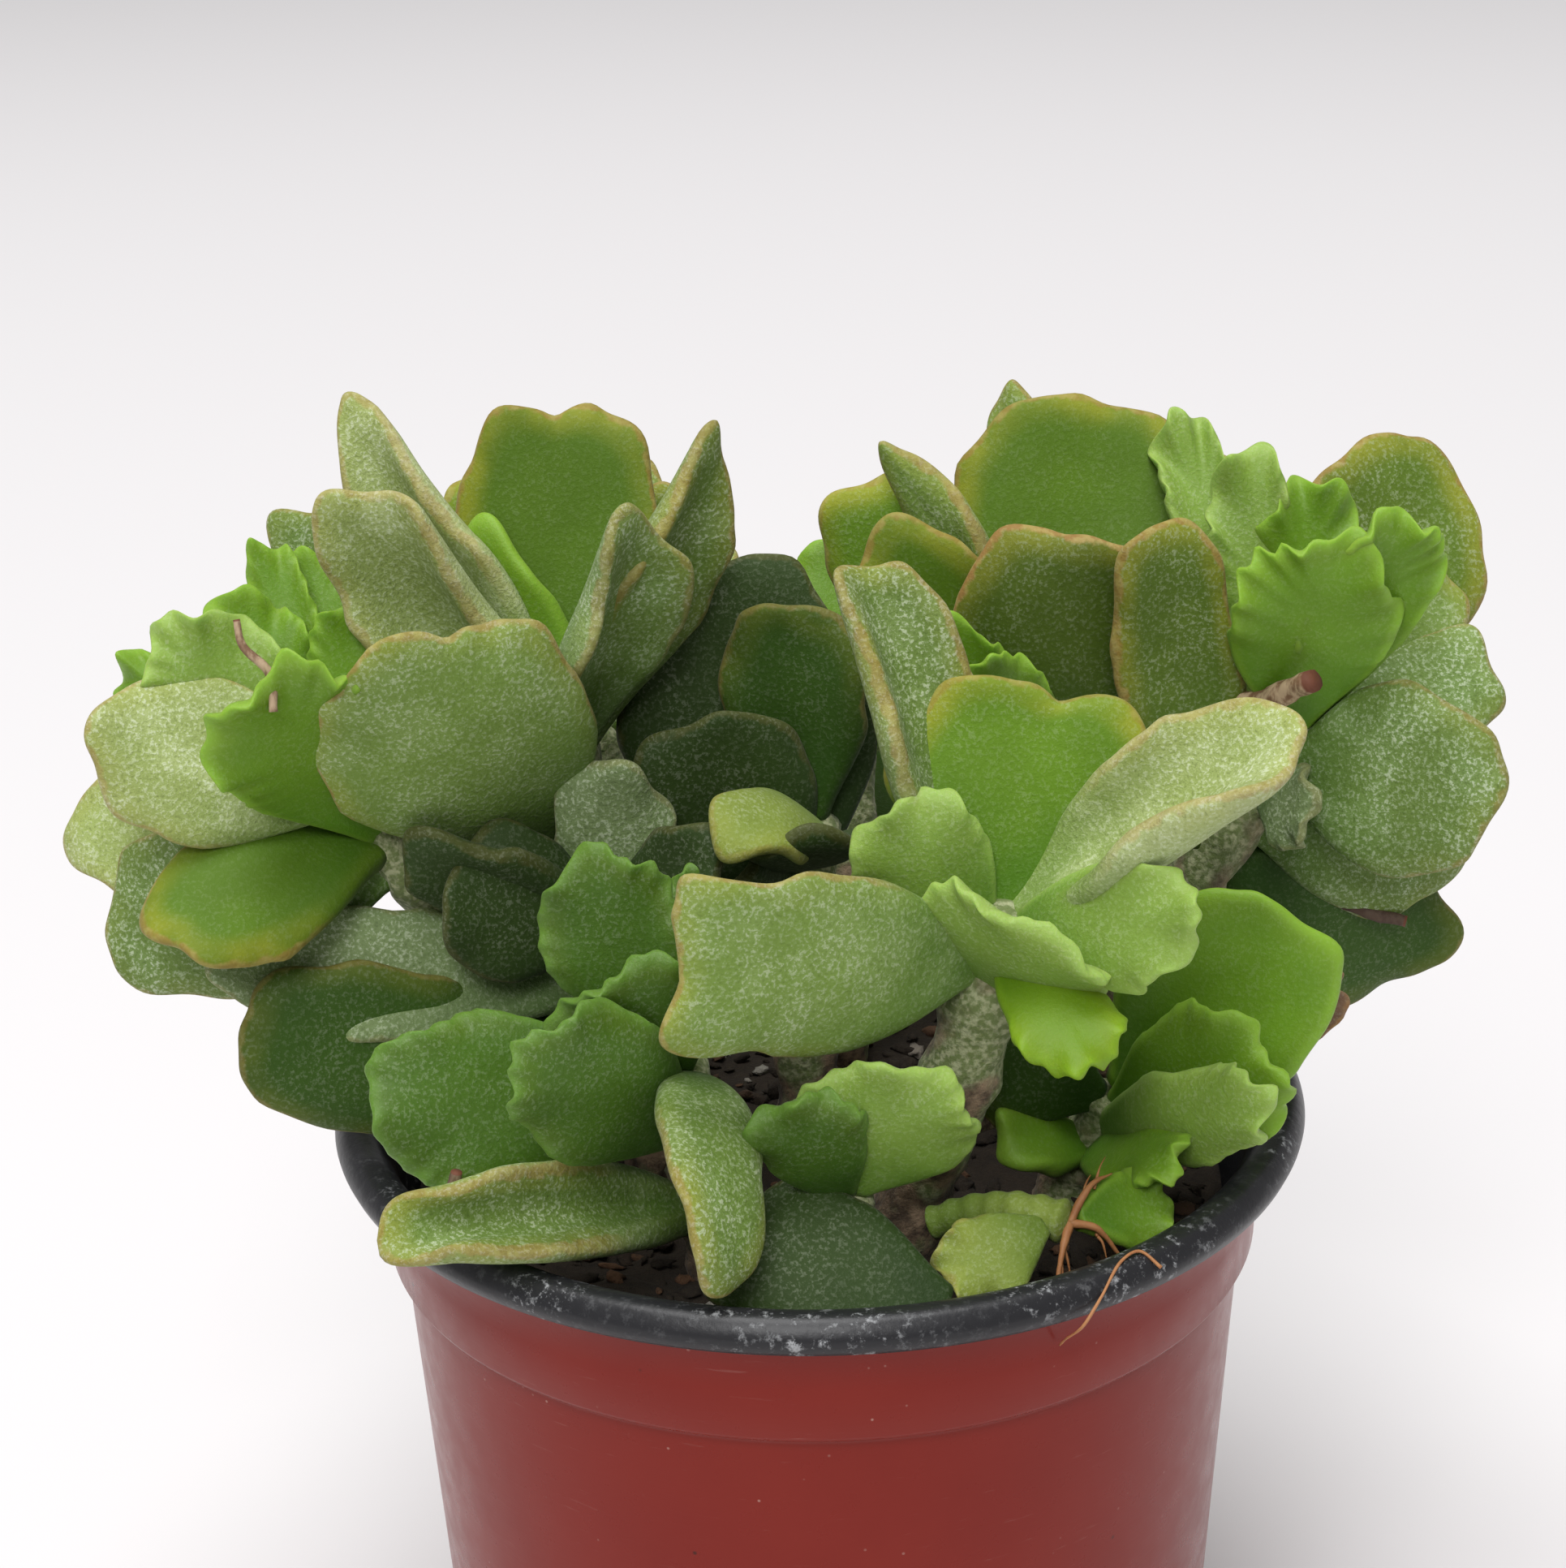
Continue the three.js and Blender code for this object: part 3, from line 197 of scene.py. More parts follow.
STEMS = [
    stem("stem_front_right", foot=3.2, top=3.6, axis=[
        (7, -17, 58), (8, -17.5, 74), (12.5, -18.5, 88), (16.5, -18, 104),
    ], leaves=[
        leaf(
            MATURE, 0.97, (20, -12.5, 121.5), 24.5, (0, 18), 8, 8, "fresh",
            shoulder=0.5, crest=2, dents=[(0.08, 0.9, 0.05)],
        ),
        leaf(
            MATURE, 0.88, (-12.5, -34, 105.5), 17.5, (-15, 5), -10, -35, "grey",
            shoulder=0.56, crest=3.4, dents=[(0.3, -1.2, 0.08)],
        ),
        leaf(YOUNG, 0.82, (17.5, -29.5, 106), 18, (-33, -33), -10, -10, "pale"),
        leaf(YOUNG, 0.92, (31, -31, 107), 11, (0, 25), -10, -20, "pale"),
        leaf(YOUNG, 0.9, (23, -33, 94.5), 9, (10, 35), -10, -35, "lime"),
        leaf(YOUNG, 0.9, (5.5, -19, 112.5), 12, (-10, 10), -10, -10, "pale"),
        leaf(MATURE, 0.95, (40.5, -24, 120), 17, (-60, 45), 100, 5, "silver"),
        leaf(MATURE, 0.88, (4.5, -10, 132.5), 13.5, (35, 5), 80, 10, "mossy", crest=1.8),
    ]),
    stem("stem_upper_left", foot=3.6, top=3, axis=[
        (-13, 7, 58), (-16, 6, 80), (-21, 4, 98), (-22.5, 4, 112),
    ], leaves=[
        leaf(
            MATURE, 0.97, (-22.5, 14, 140), 20, (0, 15), 8, 10, "deep",
            shoulder=0.55, crest=2, dents=[(0, 0.7, 0.05), (0.13, -0.6, 0.08)],
        ),
        leaf(MATURE, 0.95, (-31, 9, 129.5), 11, (-15, 10), 10, 10, "bright"),
        leaf(
            MATURE, 0.8, (-36.5, -15, 126), 24, (0, 0), -12, -35, "grey",
            shoulder=0.64, crest=2.5, dents=[(-0.13, 0.8, 0.045), (0.2, 1, 0.05)],
        ),
        leaf(MATURE, 0.9, (-40.5, -2, 137), 15, (-15, 5), 80, 10, "silver"),
        leaf(MATURE, 0.95, (-41.5, 12, 140.5), 12, (-20, 10), 75, 10, "silver", crest=1.7),
        leaf(MATURE, 0.95, (-14.5, -6, 135), 16, (45, 0), 70, 10, "speckled", crest=1.7),
        leaf(MATURE, 0.97, (-7.5, 2, 139.5), 14, (50, 5), 55, 5, "mossy", crest=1.6),
        leaf(MATURE, 0.85, (-48, 16, 129.5), 14, (-20, 10), 10, 10, "speckled"),
        leaf(MATURE, 0.97, (-12, 19, 130), 10, (10, 10), 10, 10, "olive"),
    ]),
    stem("rosette_left", foot=3, top=2.6, axis=[
        (-21, 0, 58), (-26, -1, 78), (-35, -3, 99), (-43, -4, 112),
    ], leaves=[
        leaf(PLEATED, 0.84, (-46, -18, 125), 17, (0, 15), 15, 15, "bright"),
        leaf(PLEATED, 0.98, (-57, -4, 124.5), 13, (-10, 25), 10, 10, "pale"),
        leaf(PLEATED, 1, (-52, 3, 125.5), 10, (10, 25), 10, 10, "bright"),
        leaf(SMALL, 1, (-49, 7, 129.5), 6, (10, 10), 20, 10, "bright"),
        leaf(SMALL, 1, (-45, 9, 127), 9, (0, 10), 10, 10, "bright"),
        leaf(SMALL, 1, (-40.5, 0, 126), 7, (10, 10), 10, 10, "bright"),
        leaf(MATURE, 0.92, (-62.5, -9, 117.5), 15, (-10, 30), -10, -20, "silver"),
        leaf(MATURE, 0.86, (-68, 2, 104), 15, (-10, 20), -10, -20, "silver"),
        leaf(MATURE, 0.8, (-64, -4, 96), 18, (-5, 10), -10, -30, "speckled"),
        leaf(MATURE, 0.84, (-57.5, -16, 101), 14, (-5, 50), -10, -30, "deep"),
        leaf(PLEATED, 0.95, (-63, 7, 117), 9, (-10, 35), 10, -10, "bright"),
    ]),
    stem("rosette_front_left", foot=2.6, top=2.6, axis=[
        (-9.5, -16, 58), (-10, -18, 72), (-11.5, -20, 83), (-12.5, -21, 91),
    ], leaves=[
        leaf(YOUNG, 0.85, (-38, -30, 92), 15, (0, 25), -10, -10, "leafy"),
        leaf(YOUNG, 0.75, (-24, -35, 99), 14, (10, 15), -10, -30, "leafy"),
        leaf(YOUNG, 1, (-20, -18, 108.5), 13, (-10, 10), 10, 10, "leafy"),
        leaf(YOUNG, 0.9, (-17.5, -28, 102), 15, (0, 15), -10, -20, "leafy"),
        leaf(SMALL, 1, (-15.5, -16, 103), 8, (10, 10), 10, 10, "leafy"),
        leaf(SMALL, 1, (-10.5, -13, 105), 6, (20, 10), 10, 10, "leafy"),
        leaf(MATURE, 1, (-8.5, -41.5, 79), 10.5, (20, 25), -20, -110, "mossy", twist=40, shoulder=0.5),
        leaf(MATURE, 0.5, (-35.5, -38, 83.5), 10.5, (0, 40), 95, -20, "mossy", crest=3.4),
    ]),
    stem("stem_back_right", foot=3.4, top=3, axis=[
        (13, 7, 58), (16, 8, 80), (22, 7, 98), (24, 7, 110),
    ], leaves=[
        leaf(MATURE, 0.98, (26, 20, 138), 25, (0, 15), 8, 10, "deep", shoulder=0.5, crest=2),
        leaf(MATURE, 0.92, (22.5, 4, 129.5), 22, (0, 0), -10, 0, "umber", shoulder=0.5, crest=2.1),
        leaf(MATURE, 0.95, (8, 12, 135.5), 8, (-35, 10), 40, 10, "grey", crest=1.8),
        leaf(MATURE, 0.85, (4, 16, 131), 15, (-10, 10), 10, 10, "fresh"),
        leaf(MATURE, 0.85, (6.5, 7, 129), 15, (-10, 10), 10, 15, "deep"),
        leaf(MATURE, 1, (19.5, 28, 137), 7, (-20, 10), 10, 10, "grey"),
        leaf(SMALL, 0.9, (14.5, -2, 119.5), 8, (0, 10), 10, 10, "bright"),
        leaf(SMALL, 0.9, (12.5, 1, 122), 5, (0, 10), 10, 10, "bright"),
    ]),
    stem("rosette_right", foot=3.2, top=2.8, axis=[
        (22, 4, 58), (27, 5, 78), (37, 4, 98), (45, 3, 112),
    ], leaves=[
        leaf(PLEATED, 1, (45, -5, 131), 15, (0, 15), 15, 15, "bright", shoulder=0.55),
        leaf(PLEATED, 1, (52.5, -3, 132.5), 12, (20, 15), 25, 15, "bright"),
        leaf(PLEATED, 1, (46, 9, 132.5), 10, (0, 15), 10, 10, "bright"),
        leaf(PLEATED, 0.98, (39.5, 10, 135), 9, (0, 15), 20, 10, "pale"),
        leaf(PLEATED, 0.95, (34, 17, 136.5), 8, (10, 15), 20, 10, "pale"),
        leaf(MATURE, 0.97, (58.5, 18, 132), 21, (5, 10), 8, 10, "olive", shoulder=0.5, crest=2.1),
        leaf(MATURE, 0.95, (60, 12, 122), 10, (10, 25), 10, 10, "grey"),
        leaf(MATURE, 0.92, (63, 6, 115), 12, (0, 40), -10, -10, "speckled"),
        leaf(MATURE, 0.88, (61, -7, 108.5), 18, (0, 12), -8, -20, "speckled", shoulder=0.5, crest=2),
        leaf(MATURE, 0.8, (60, 4, 96.5), 14, (10, -5), -10, -20, "speckled"),
        leaf(MATURE, 0.72, (59.5, 8, 85.5), 17, (10, 0), -10, -20, "shaded"),
        leaf(SMALL, 0.85, (44.5, -5, 105), 8, (0, 10), -10, -20, "ash"),
        leaf(MATURE, 0.72, (30.5, 0, 132), 12, (10, 8), 25, 10, "olive", crest=2),
    ]),
    stem("rosette_low_right", foot=2.8, top=2.6, axis=[
        (20, -5, 58), (22, -6, 67), (25, -7, 74), (27, -8, 80),
    ], leaves=[
        leaf(MATURE, 1, (43.5, -11, 98), 19, (0, 15), 10, 10, "bright", shoulder=0.5, crest=2.1),
        leaf(YOUNG, 0.9, (39.5, -20, 89), 14, (0, 15), -10, -20, "bright"),
        leaf(YOUNG, 0.8, (38, -27, 88.5), 9, (-10, 15), -20, -30, "pale"),
        leaf(YOUNG, 0.95, (14, -11, 86), 12, (0, 10), -10, -10, "shaded"),
        leaf(MATURE, 0.7, (15.5, -14, 78), 7, (0, 50), 10, -20, "bright"),
        leaf(YOUNG, 0.65, (31, -25, 81), 8, (-20, 50), 10, -20, "bright"),
        leaf(SMALL, 0.8, (37.5, -13, 81), 6, (0, 30), 10, -20, "bright"),
        leaf(SMALL, 1, (48, -7, 90), 9, (0, 10), 20, -10, "dry", crest=1.6),
    ]),
    stem("rosette_front", foot=2.3, top=2.3, axis=[
        (1, -23, 58), (1.5, -25, 68), (2, -26, 76), (2, -26.5, 81),
    ], leaves=[
        leaf(YOUNG, 1, (8, -30, 93.5), 16, (10, 10), -8, -10, "pale", shoulder=0.5),
        leaf(YOUNG, 0.95, (-3, -33, 92.5), 10, (-10, 15), -10, -20, "leafy"),
    ]),
    # This stem and the next sit deep inside the plant: the dark and shaded greens of their leaves are painted
    # shade
    stem("stem_inner_left", foot=3.2, top=2.8, axis=[
        (-13, -3, 58), (-16, -3.5, 76), (-18, -4, 88), (-18, -4, 98),
    ], leaves=[
        leaf(MATURE, 0.5, (-51.5, -14, 91.5), 17, (-5, 15), -10, -20, "shaded"),
        leaf(MATURE, 0.8, (-53, -10, 95), 12, (-5, 30), 15, -20, "ash"),
        leaf(MATURE, 0.7, (-32, -6, 90), 9, (0, 10), 10, 0, "dark"),
        leaf(MATURE, 0.95, (-36, -11, 106.5), 10, (-30, 0), 10, 0, "dark"),
        leaf(MATURE, 0.98, (-32.5, -12, 103), 14, (0, 25), -10, -10, "dark"),
        leaf(MATURE, 1, (-18, -5, 112.5), 11, (0, 10), -10, 0, "ash", crest=1.8),
        leaf(MATURE, 1, (-8, -10, 106), 9, (0, 30), 10, -10, "dark"),
    ]),
    stem("stem_centre", foot=3, top=2.8, axis=[
        (0, 2, 58), (-1, 2, 76), (-1, 3, 92), (0, 3, 104),
    ], leaves=[
        leaf(MATURE, 0.75, (-9.5, 9, 126), 24, (0, 10), 10, 10, "dark", shoulder=0.5),
        leaf(MATURE, 0.95, (-2, 3, 124), 14, (-10, 10), 10, 15, "shaded"),
        leaf(MATURE, 0.97, (-8, -13, 106.5), 9, (-10, 40), -10, -70, "straw", neck=0.8),
        leaf(MATURE, 0.9, (-1, -12, 107), 11, (0, 10), -10, -20, "dark"),
        leaf(MATURE, 0.8, (-12.5, -1, 113.5), 17, (0, 10), 10, 0, "dark"),
        leaf(MATURE, 0.7, (-8, -9, 100), 13, (0, 30), -10, -10, "dark"),
    ]),
    stem("stem_back_left", foot=3.4, top=2.8, axis=[
        (-13, 19, 58), (-16, 21, 78), (-20, 25, 94), (-22, 28, 104),
    ], leaves=[
        leaf(MATURE, 0.9, (-47, 32, 113), 17, (90, 50), 10, 20, "deep"),
        leaf(MATURE, 0.92, (-39, 47, 112), 18, (45, 50), 10, 20, "grey"),
        leaf(MATURE, 0.9, (-22, 55, 112), 18, (0, 50), 10, 25, "olive"),
        leaf(MATURE, 0.94, (-9, 45, 116), 15, (-45, 50), 10, 20, "grey"),
        leaf(MATURE, 1, (-34, 36, 126), 16, (45, 25), 15, 15, "fresh"),
        leaf(MATURE, 1, (-19, 40, 127), 16, (-10, 20), 15, 15, "grey"),
        leaf(MATURE, 0.72, (-42, 38, 97), 16, (60, 60), 10, 25, "speckled"),
        leaf(MATURE, 0.7, (-25, 47, 95), 15, (10, 60), 10, 25, "olive"),
        leaf(MATURE, 0.74, (-48, 22, 100), 14, (90, 60), 10, 25, "speckled"),
    ]),
    stem("stem_back_centre", foot=3, top=2.6, axis=[
        (2, 21, 58), (3, 24, 78), (4, 29, 92), (4, 32, 100),
    ], leaves=[
        leaf(YOUNG, 0.92, (4, 58, 108), 18, (0, 50), 10, 20, "bright"),
        leaf(YOUNG, 0.94, (20, 51, 111), 16, (-45, 50), 10, 20, "pale"),
        leaf(YOUNG, 0.85, (-9, 54, 101), 15, (30, 60), 10, 20, "bright"),
        leaf(YOUNG, 1, (6, 44, 117), 15, (0, 20), 15, 15, "bright"),
        leaf(YOUNG, 1, (15, 35, 114), 12, (-60, 30), 15, 15, "pale"),
        leaf(YOUNG, 1, (-5, 34, 115), 12, (60, 30), 15, 15, "bright"),
        leaf(YOUNG, 0.7, (10, 51, 93), 15, (0, 70), 10, 20, "bright"),
    ]),
    stem("stem_back_far_right", foot=3.3, top=2.8, axis=[
        (20, 18, 58), (24, 21, 78), (30, 25, 94), (32, 28, 103),
    ], leaves=[
        leaf(MATURE, 0.9, (56, 33, 112), 17, (-90, 50), 10, 20, "grey"),
        leaf(MATURE, 0.92, (47, 48, 112), 17, (-45, 50), 10, 20, "olive"),
        leaf(MATURE, 0.9, (31, 56, 110), 17, (0, 50), 10, 25, "deep"),
        leaf(MATURE, 1, (41, 39, 126), 16, (-30, 20), 15, 15, "fresh"),
        leaf(MATURE, 1, (27, 43, 125), 15, (20, 20), 15, 15, "grey"),
        leaf(MATURE, 0.72, (50, 40, 97), 15, (-60, 60), 10, 25, "speckled"),
        leaf(MATURE, 0.7, (34, 49, 95), 15, (-10, 60), 10, 25, "olive"),
        leaf(MATURE, 0.74, (56, 23, 99), 14, (-90, 60), 10, 25, "speckled"),
    ]),
    stem("rooted_cutting", foot=1.4, top=1.9, axis=[
        (9.5, -23, 75), (13, -24, 76.5), (17, -26, 77.5), (21, -28, 77.5),
    ], roots=[
        (13.5, -29.5, 73.5), (19.5, -32, 72.5), (25.5, -28, 74), (25, -24, 80),
    ], leaves=[
        leaf(SMALL, 0.9, (10, -34, 75.5), 8, (0, 40), -10, -20, "straw"),
        leaf(SMALL, 1, (30.5, -23, 76.5), 7, (0, 40), 10, 10, "bright"),
    ]),
]

# The large dark-green leaf that lies loose on the soil at the front, its darkness partly painted shade from
# the plant above
FALLEN_FROM = (10, -35, 73.5)
FALLEN_PHASE = 1
FALLEN_SEED = 3
FALLEN_LEAF = leaf(MATURE, 0, (-9.5, -31.5, 78.5), 15, (0, 50), -10, -15, "dark")

# Dry bits caught in the plant: the points of each one's axis, its radius and how dark it is
LITTER = [
    ([(-45, -17.5, 122), (-45.2, -16.6, 125), (-47.4, -16, 127.5), (-47.8, -15.4, 129.5)], 0.4, 0.3),
    ([(24, 7, 107), (32, 6, 110.5), (39, 2, 113), (44.1, -4.5, 117.8)], 1.35, 0.1),
    ([(47, 6, 97), (48.5, 4, 93.4), (51, 3, 92.2), (54.8, 2, 91.4)], 0.75, 0.9),
    ([(-30.6, -32.8, 82), (-30.9, -33, 84.5), (-30.5, -33, 86.6)], 0.65, 0.7),
]

# The root thread that hangs over the lip
THREAD = [
    (28, -35.4, 77.2),
    (26.3, -34.6, 78.35),
    (24.6, -36, 78.3),
    (22.6, -39.1, 76.7),
    (21, -40.7, 75),
    (19.8, -38.7, 72.6),
    (19.5, -36.4, 70.6),
]


def smoothstep(value, low, high):
    share = np.clip((value - low) / (high - low), 0, 1)
    return share * share * (3 - 2 * share)


def seeded_random(seed):
    """The part's own random numbers, so that a leaf's edge waves here as it does there."""
    state = seed
    while True:
        state = (state * 1664525 + 1013904223) % 4294967296
        yield state / 4294967296


class Path:
    """A smooth curve through points, asked for by a share of its length."""

    STEPS = 60

    def __init__(self, points):
        inner = [np.array(point, float) for point in points]
        knots = [2 * inner[0] - inner[1], *inner, 2 * inner[-1] - inner[-2]]
        samples = []
        for first in range(len(knots) - 3):
            samples.extend(self.stretch(*knots[first:first + 4]))
        samples.append(inner[-1])
        self.samples = np.array(samples)
        steps = np.linalg.norm(np.diff(self.samples, axis=0), axis=1)
        self.reach = np.concatenate([[0], np.cumsum(steps)])
        self.length = self.reach[-1]

    def stretch(self, before, start, end, after):
        """The points of one centripetal stretch, from start up to but not with end."""
        gaps = [np.linalg.norm(b - a) ** 0.5 for a, b in ((before, start), (start, end), (end, after))]
        slope = (end - start) / gaps[1]
        leaving = gaps[1] * ((start - before) / gaps[0] - (end - before) / (gaps[0] + gaps[1]) + slope)
        coming = gaps[1] * (slope - (after - start) / (gaps[1] + gaps[2]) + (after - end) / gaps[2])
        t = np.linspace(0, 1, self.STEPS, endpoint=False)[:, None]
        bow = 3 * (end - start) - 2 * leaving - coming
        return start + leaving * t + bow * t**2 + (2 * (start - end) + leaving + coming) * t**3

    def at(self, share):
        reach = np.asarray(share) * self.length
        return np.stack([np.interp(reach, self.reach, self.samples[:, axis]) for axis in range(3)], -1)


class Pile:
    """Collects points, faces and values for each point, and makes one object of them."""

    VALUES = ("edge", "along", "upper", "tone")

    def __init__(self):
        self.points = []
        self.faces = []
        self.materials = []
        self.face_materials = []
        self.values = {name: [] for name in self.VALUES}
        self.count = 0

    def add(self, points, faces, material, **values):
        if material not in self.materials:
            self.materials.append(material)
        self.faces.extend([self.count + corner for corner in face] for face in faces)
        self.face_materials.extend([self.materials.index(material)] * len(faces))
        self.points.append(np.asarray(points))
        for name in self.VALUES:
            self.values[name].append(np.broadcast_to(values.get(name, 0), len(points)))
        self.count += len(points)

    def build(self, name, slot, *nodes):
        """Makes the object, which stands for those nodes and rides on the part's one body."""
        mesh = bpy.data.meshes.new(name)
        mesh.from_pydata(np.concatenate(self.points) * MM, [], self.faces)
        for material in self.materials:
            mesh.materials.append(material)
        mesh.polygons.foreach_set("material_index", self.face_materials)
        mesh.polygons.foreach_set("use_smooth", [True] * len(mesh.polygons))
        for value, parts in self.values.items():
            layer = mesh.attributes.new(value, "FLOAT", "POINT")
            layer.data.foreach_set("value", np.concatenate(parts).astype(np.float32))
        mesh.update()
        piece = bpy.data.objects.new(name, mesh)
        bpy.context.scene.collection.objects.link(piece)
        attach(piece, "root")
        if nodes:
            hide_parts(*nodes)
        return piece


class Shader:
    """A material's node tree, with short calls for the few kinds of node used here."""

    def __init__(self, name, roughness, **constants):
        self.material = bpy.data.materials.new(name)
        self.material.use_nodes = True
        self.tree = self.material.node_tree
        self.surface = self.tree.nodes["Principled BSDF"]
        self.surface.inputs["Roughness"].default_value = roughness
        for name, value in constants.items():
            socket = name.replace("_", " ").title().replace("Ior", "IOR")
            self.surface.inputs[socket].default_value = value
        self.place = self.tree.nodes.new("ShaderNodeTexCoord").outputs["Object"]

    def connect(self, socket, value):
        if isinstance(value, bpy.types.NodeSocket):
            self.tree.links.new(value, socket)
        elif isinstance(value, tuple) and len(value) == 3 and socket.type == "RGBA":
            socket.default_value = (*value, 1)
        else:
            socket.default_value = value

    def set(self, socket, value):
        self.connect(self.surface.inputs[socket], value)

    def value(self, name):
        """One of the values that a pile keeps for each point."""
        node = self.tree.nodes.new("ShaderNodeAttribute")
        node.attribute_name = name
        return node.outputs["Fac"]

    def stretched(self, scale):
        """The place on the piece with each axis scaled, for grain that runs one way."""
        node = self.tree.nodes.new("ShaderNodeMapping")
        self.connect(node.inputs["Vector"], self.place)
        node.inputs["Scale"].default_value = scale
        return node.outputs["Vector"]

    def noise(self, size_mm, detail=2, roughness=0.5, vector=None):
        """Noise whose blotches are about size_mm across."""
        node = self.tree.nodes.new("ShaderNodeTexNoise")
        self.connect(node.inputs["Vector"], vector or self.place)
        node.inputs["Scale"].default_value = 1 / (size_mm * MM)
        node.inputs["Detail"].default_value = detail
        node.inputs["Roughness"].default_value = roughness
        return node.outputs["Fac"]

    def cells(self, size_mm):
        """Distance to the nearest of scattered points, in cells of size_mm."""
        node = self.tree.nodes.new("ShaderNodeTexVoronoi")
        self.connect(node.inputs["Vector"], self.place)
        node.inputs["Scale"].default_value = 1 / (size_mm * MM)
        return node.outputs["Distance"]

    def ramp(self, value, low, high, start=0.0, end=1.0):
        """start where the value is below low, end where it is above high, and smooth between."""
        node = self.tree.nodes.new("ShaderNodeMapRange")
        node.interpolation_type = "SMOOTHSTEP"
        for index, given in enumerate((value, low, high, start, end)):
            self.connect(node.inputs[index], given)
        return node.outputs["Result"]

    def math(self, operation, first, second):
        node = self.tree.nodes.new("ShaderNodeMath")
        node.operation = operation
        self.connect(node.inputs[0], first)
        self.connect(node.inputs[1], second)
        return node.outputs["Value"]

    def product(self, first, *factors):
        for factor in factors:
            first = self.math("MULTIPLY", first, factor)
        return first

    def mix(self, share, first, second):
        """A colour between two colours, the second where the share is 1."""
        node = self.tree.nodes.new("ShaderNodeMix")
        node.data_type = "RGBA"
        self.connect(node.inputs["Factor"], share)
        self.connect(node.inputs["A"], first)
        self.connect(node.inputs["B"], second)
        return node.outputs["Result"]

    def bump(self, height, depth_mm, normal=None):
        """A rough surface, over the bumps of another one if that is given."""
        node = self.tree.nodes.new("ShaderNodeBump")
        node.inputs["Distance"].default_value = depth_mm * MM
        self.connect(node.inputs["Height"], height)
        if normal is not None:
            self.connect(node.inputs["Normal"], normal)
        return node.outputs["Normal"]


def times(colour, factor):
    return tuple(min(channel * factor, 1) for channel in colour)


# The silvery white that the frost on a leaf tends to, the yellow of the band inside its edge, and how much
# of each channel is left at its foot, where a darker green is painted shade
FROST_WHITE = (0.76, 0.82, 0.64)
BAND_YELLOW = (0.38, 0.35, 0.03)
FOOT_SHADE = (0.48, 0.66, 0.4)


def leaf_material(name, look):
    """Fleshy leaf: two greens, fine silvery frost, a yellow band inside the edge and a brown edge."""
    young = look["rim"] == 0
    shader = Shader(
        f"leaf_{name}",
        roughness=0.5 if young else 0.62,
        specular_ior_level=0.26 if young else 0.2,
        sheen_weight=0.02 if young else 0.04,
        sheen_roughness=0.5,
        subsurface_weight=0.22 if young else 0,
        subsurface_scale=0.0022,
        subsurface_radius=(0.5, 1, 0.15),
    )
    edge, along, tone = shader.value("edge"), shader.value("along"), shader.value("tone")
    blotch = shader.noise(7, 3)
    green = shader.mix(shader.value("upper"), look["back"], look["face"])
    green = shader.mix(shader.ramp(blotch, 0.4, 0.75, 0, 0.45), green, times(look["face"], 1.35))
    green = shader.mix(shader.product(tone, 0.3), green, times(look["face"], 0.7))
    # Painted shade: the green darkens towards the leaf's foot, down among the other leaves
    foot = shader.ramp(along, 0.1, 0.75, 0.75, 0)
    shaded_foot_green = tuple(channel * share for channel, share in zip(look["face"], FOOT_SHADE))
    green = shader.mix(foot, green, shaded_foot_green)

    if look["glow"]:
        band = shader.product(
            shader.ramp(edge, 0.6, 3.4, look["glow"], 0),
            shader.ramp(along, 0.3, 0.7, 0.1, 0.6),
            shader.ramp(blotch, 0.35, 0.6, 0.35, 1),
        )
        green = shader.mix(band, green, BAND_YELLOW)

    grain = shader.noise(0.36, 3, 0.65)
    patches = shader.noise(4.5, 2)
    frost = shader.product(
        shader.ramp(grain, 0.49, 0.64),
        shader.ramp(patches, 0.35, 0.65, 0.45, 1),
        shader.ramp(along, 0.2, 0.8, 0.45, 1),
        0.95 * look["frost"],
    )
    haze = shader.ramp(patches, 0.42, 0.68, 0, 0.35 * look["frost"])
    frosted = tuple(0.6 * channel + 0.4 * white for channel, white in zip(look["back"], FROST_WHITE))
    colour = shader.mix(haze, green, times(look["back"], 1.3))
    colour = shader.mix(frost, colour, frosted)
    pits = shader.ramp(grain, 0.3, 0.44, 0.45 * look["frost"], 0)
    colour = shader.mix(pits, colour, times(look["face"], 0.45))

    if look["rim"]:
        ragged = shader.math("ADD", edge, shader.ramp(shader.noise(1.6, 3), 0.3, 0.7, -0.25, 0.25))
        rim = shader.ramp(ragged, 0.15, 0.6, look["rim"], 0)
        rim = shader.product(rim, shader.ramp(along, 0.28, 0.55, 0, 0.85))
        mottle = shader.ramp(shader.noise(1.1, 2), 0.4, 0.6)
        tan = shader.mix(mottle, (0.4, 0.28, 0.1), (0.3, 0.15, 0.05))
        colour = shader.mix(rim, colour, tan)
    else:
        rim = shader.ramp(edge, 0.1, 1.4, 0.55, 0)
        colour = shader.mix(rim, colour, times(look["back"], 1.3))

    shader.set("Base Color", colour)
    shader.set("Normal", shader.bump(grain, 0.06 + 0.09 * look["frost"]))
    return shader.material


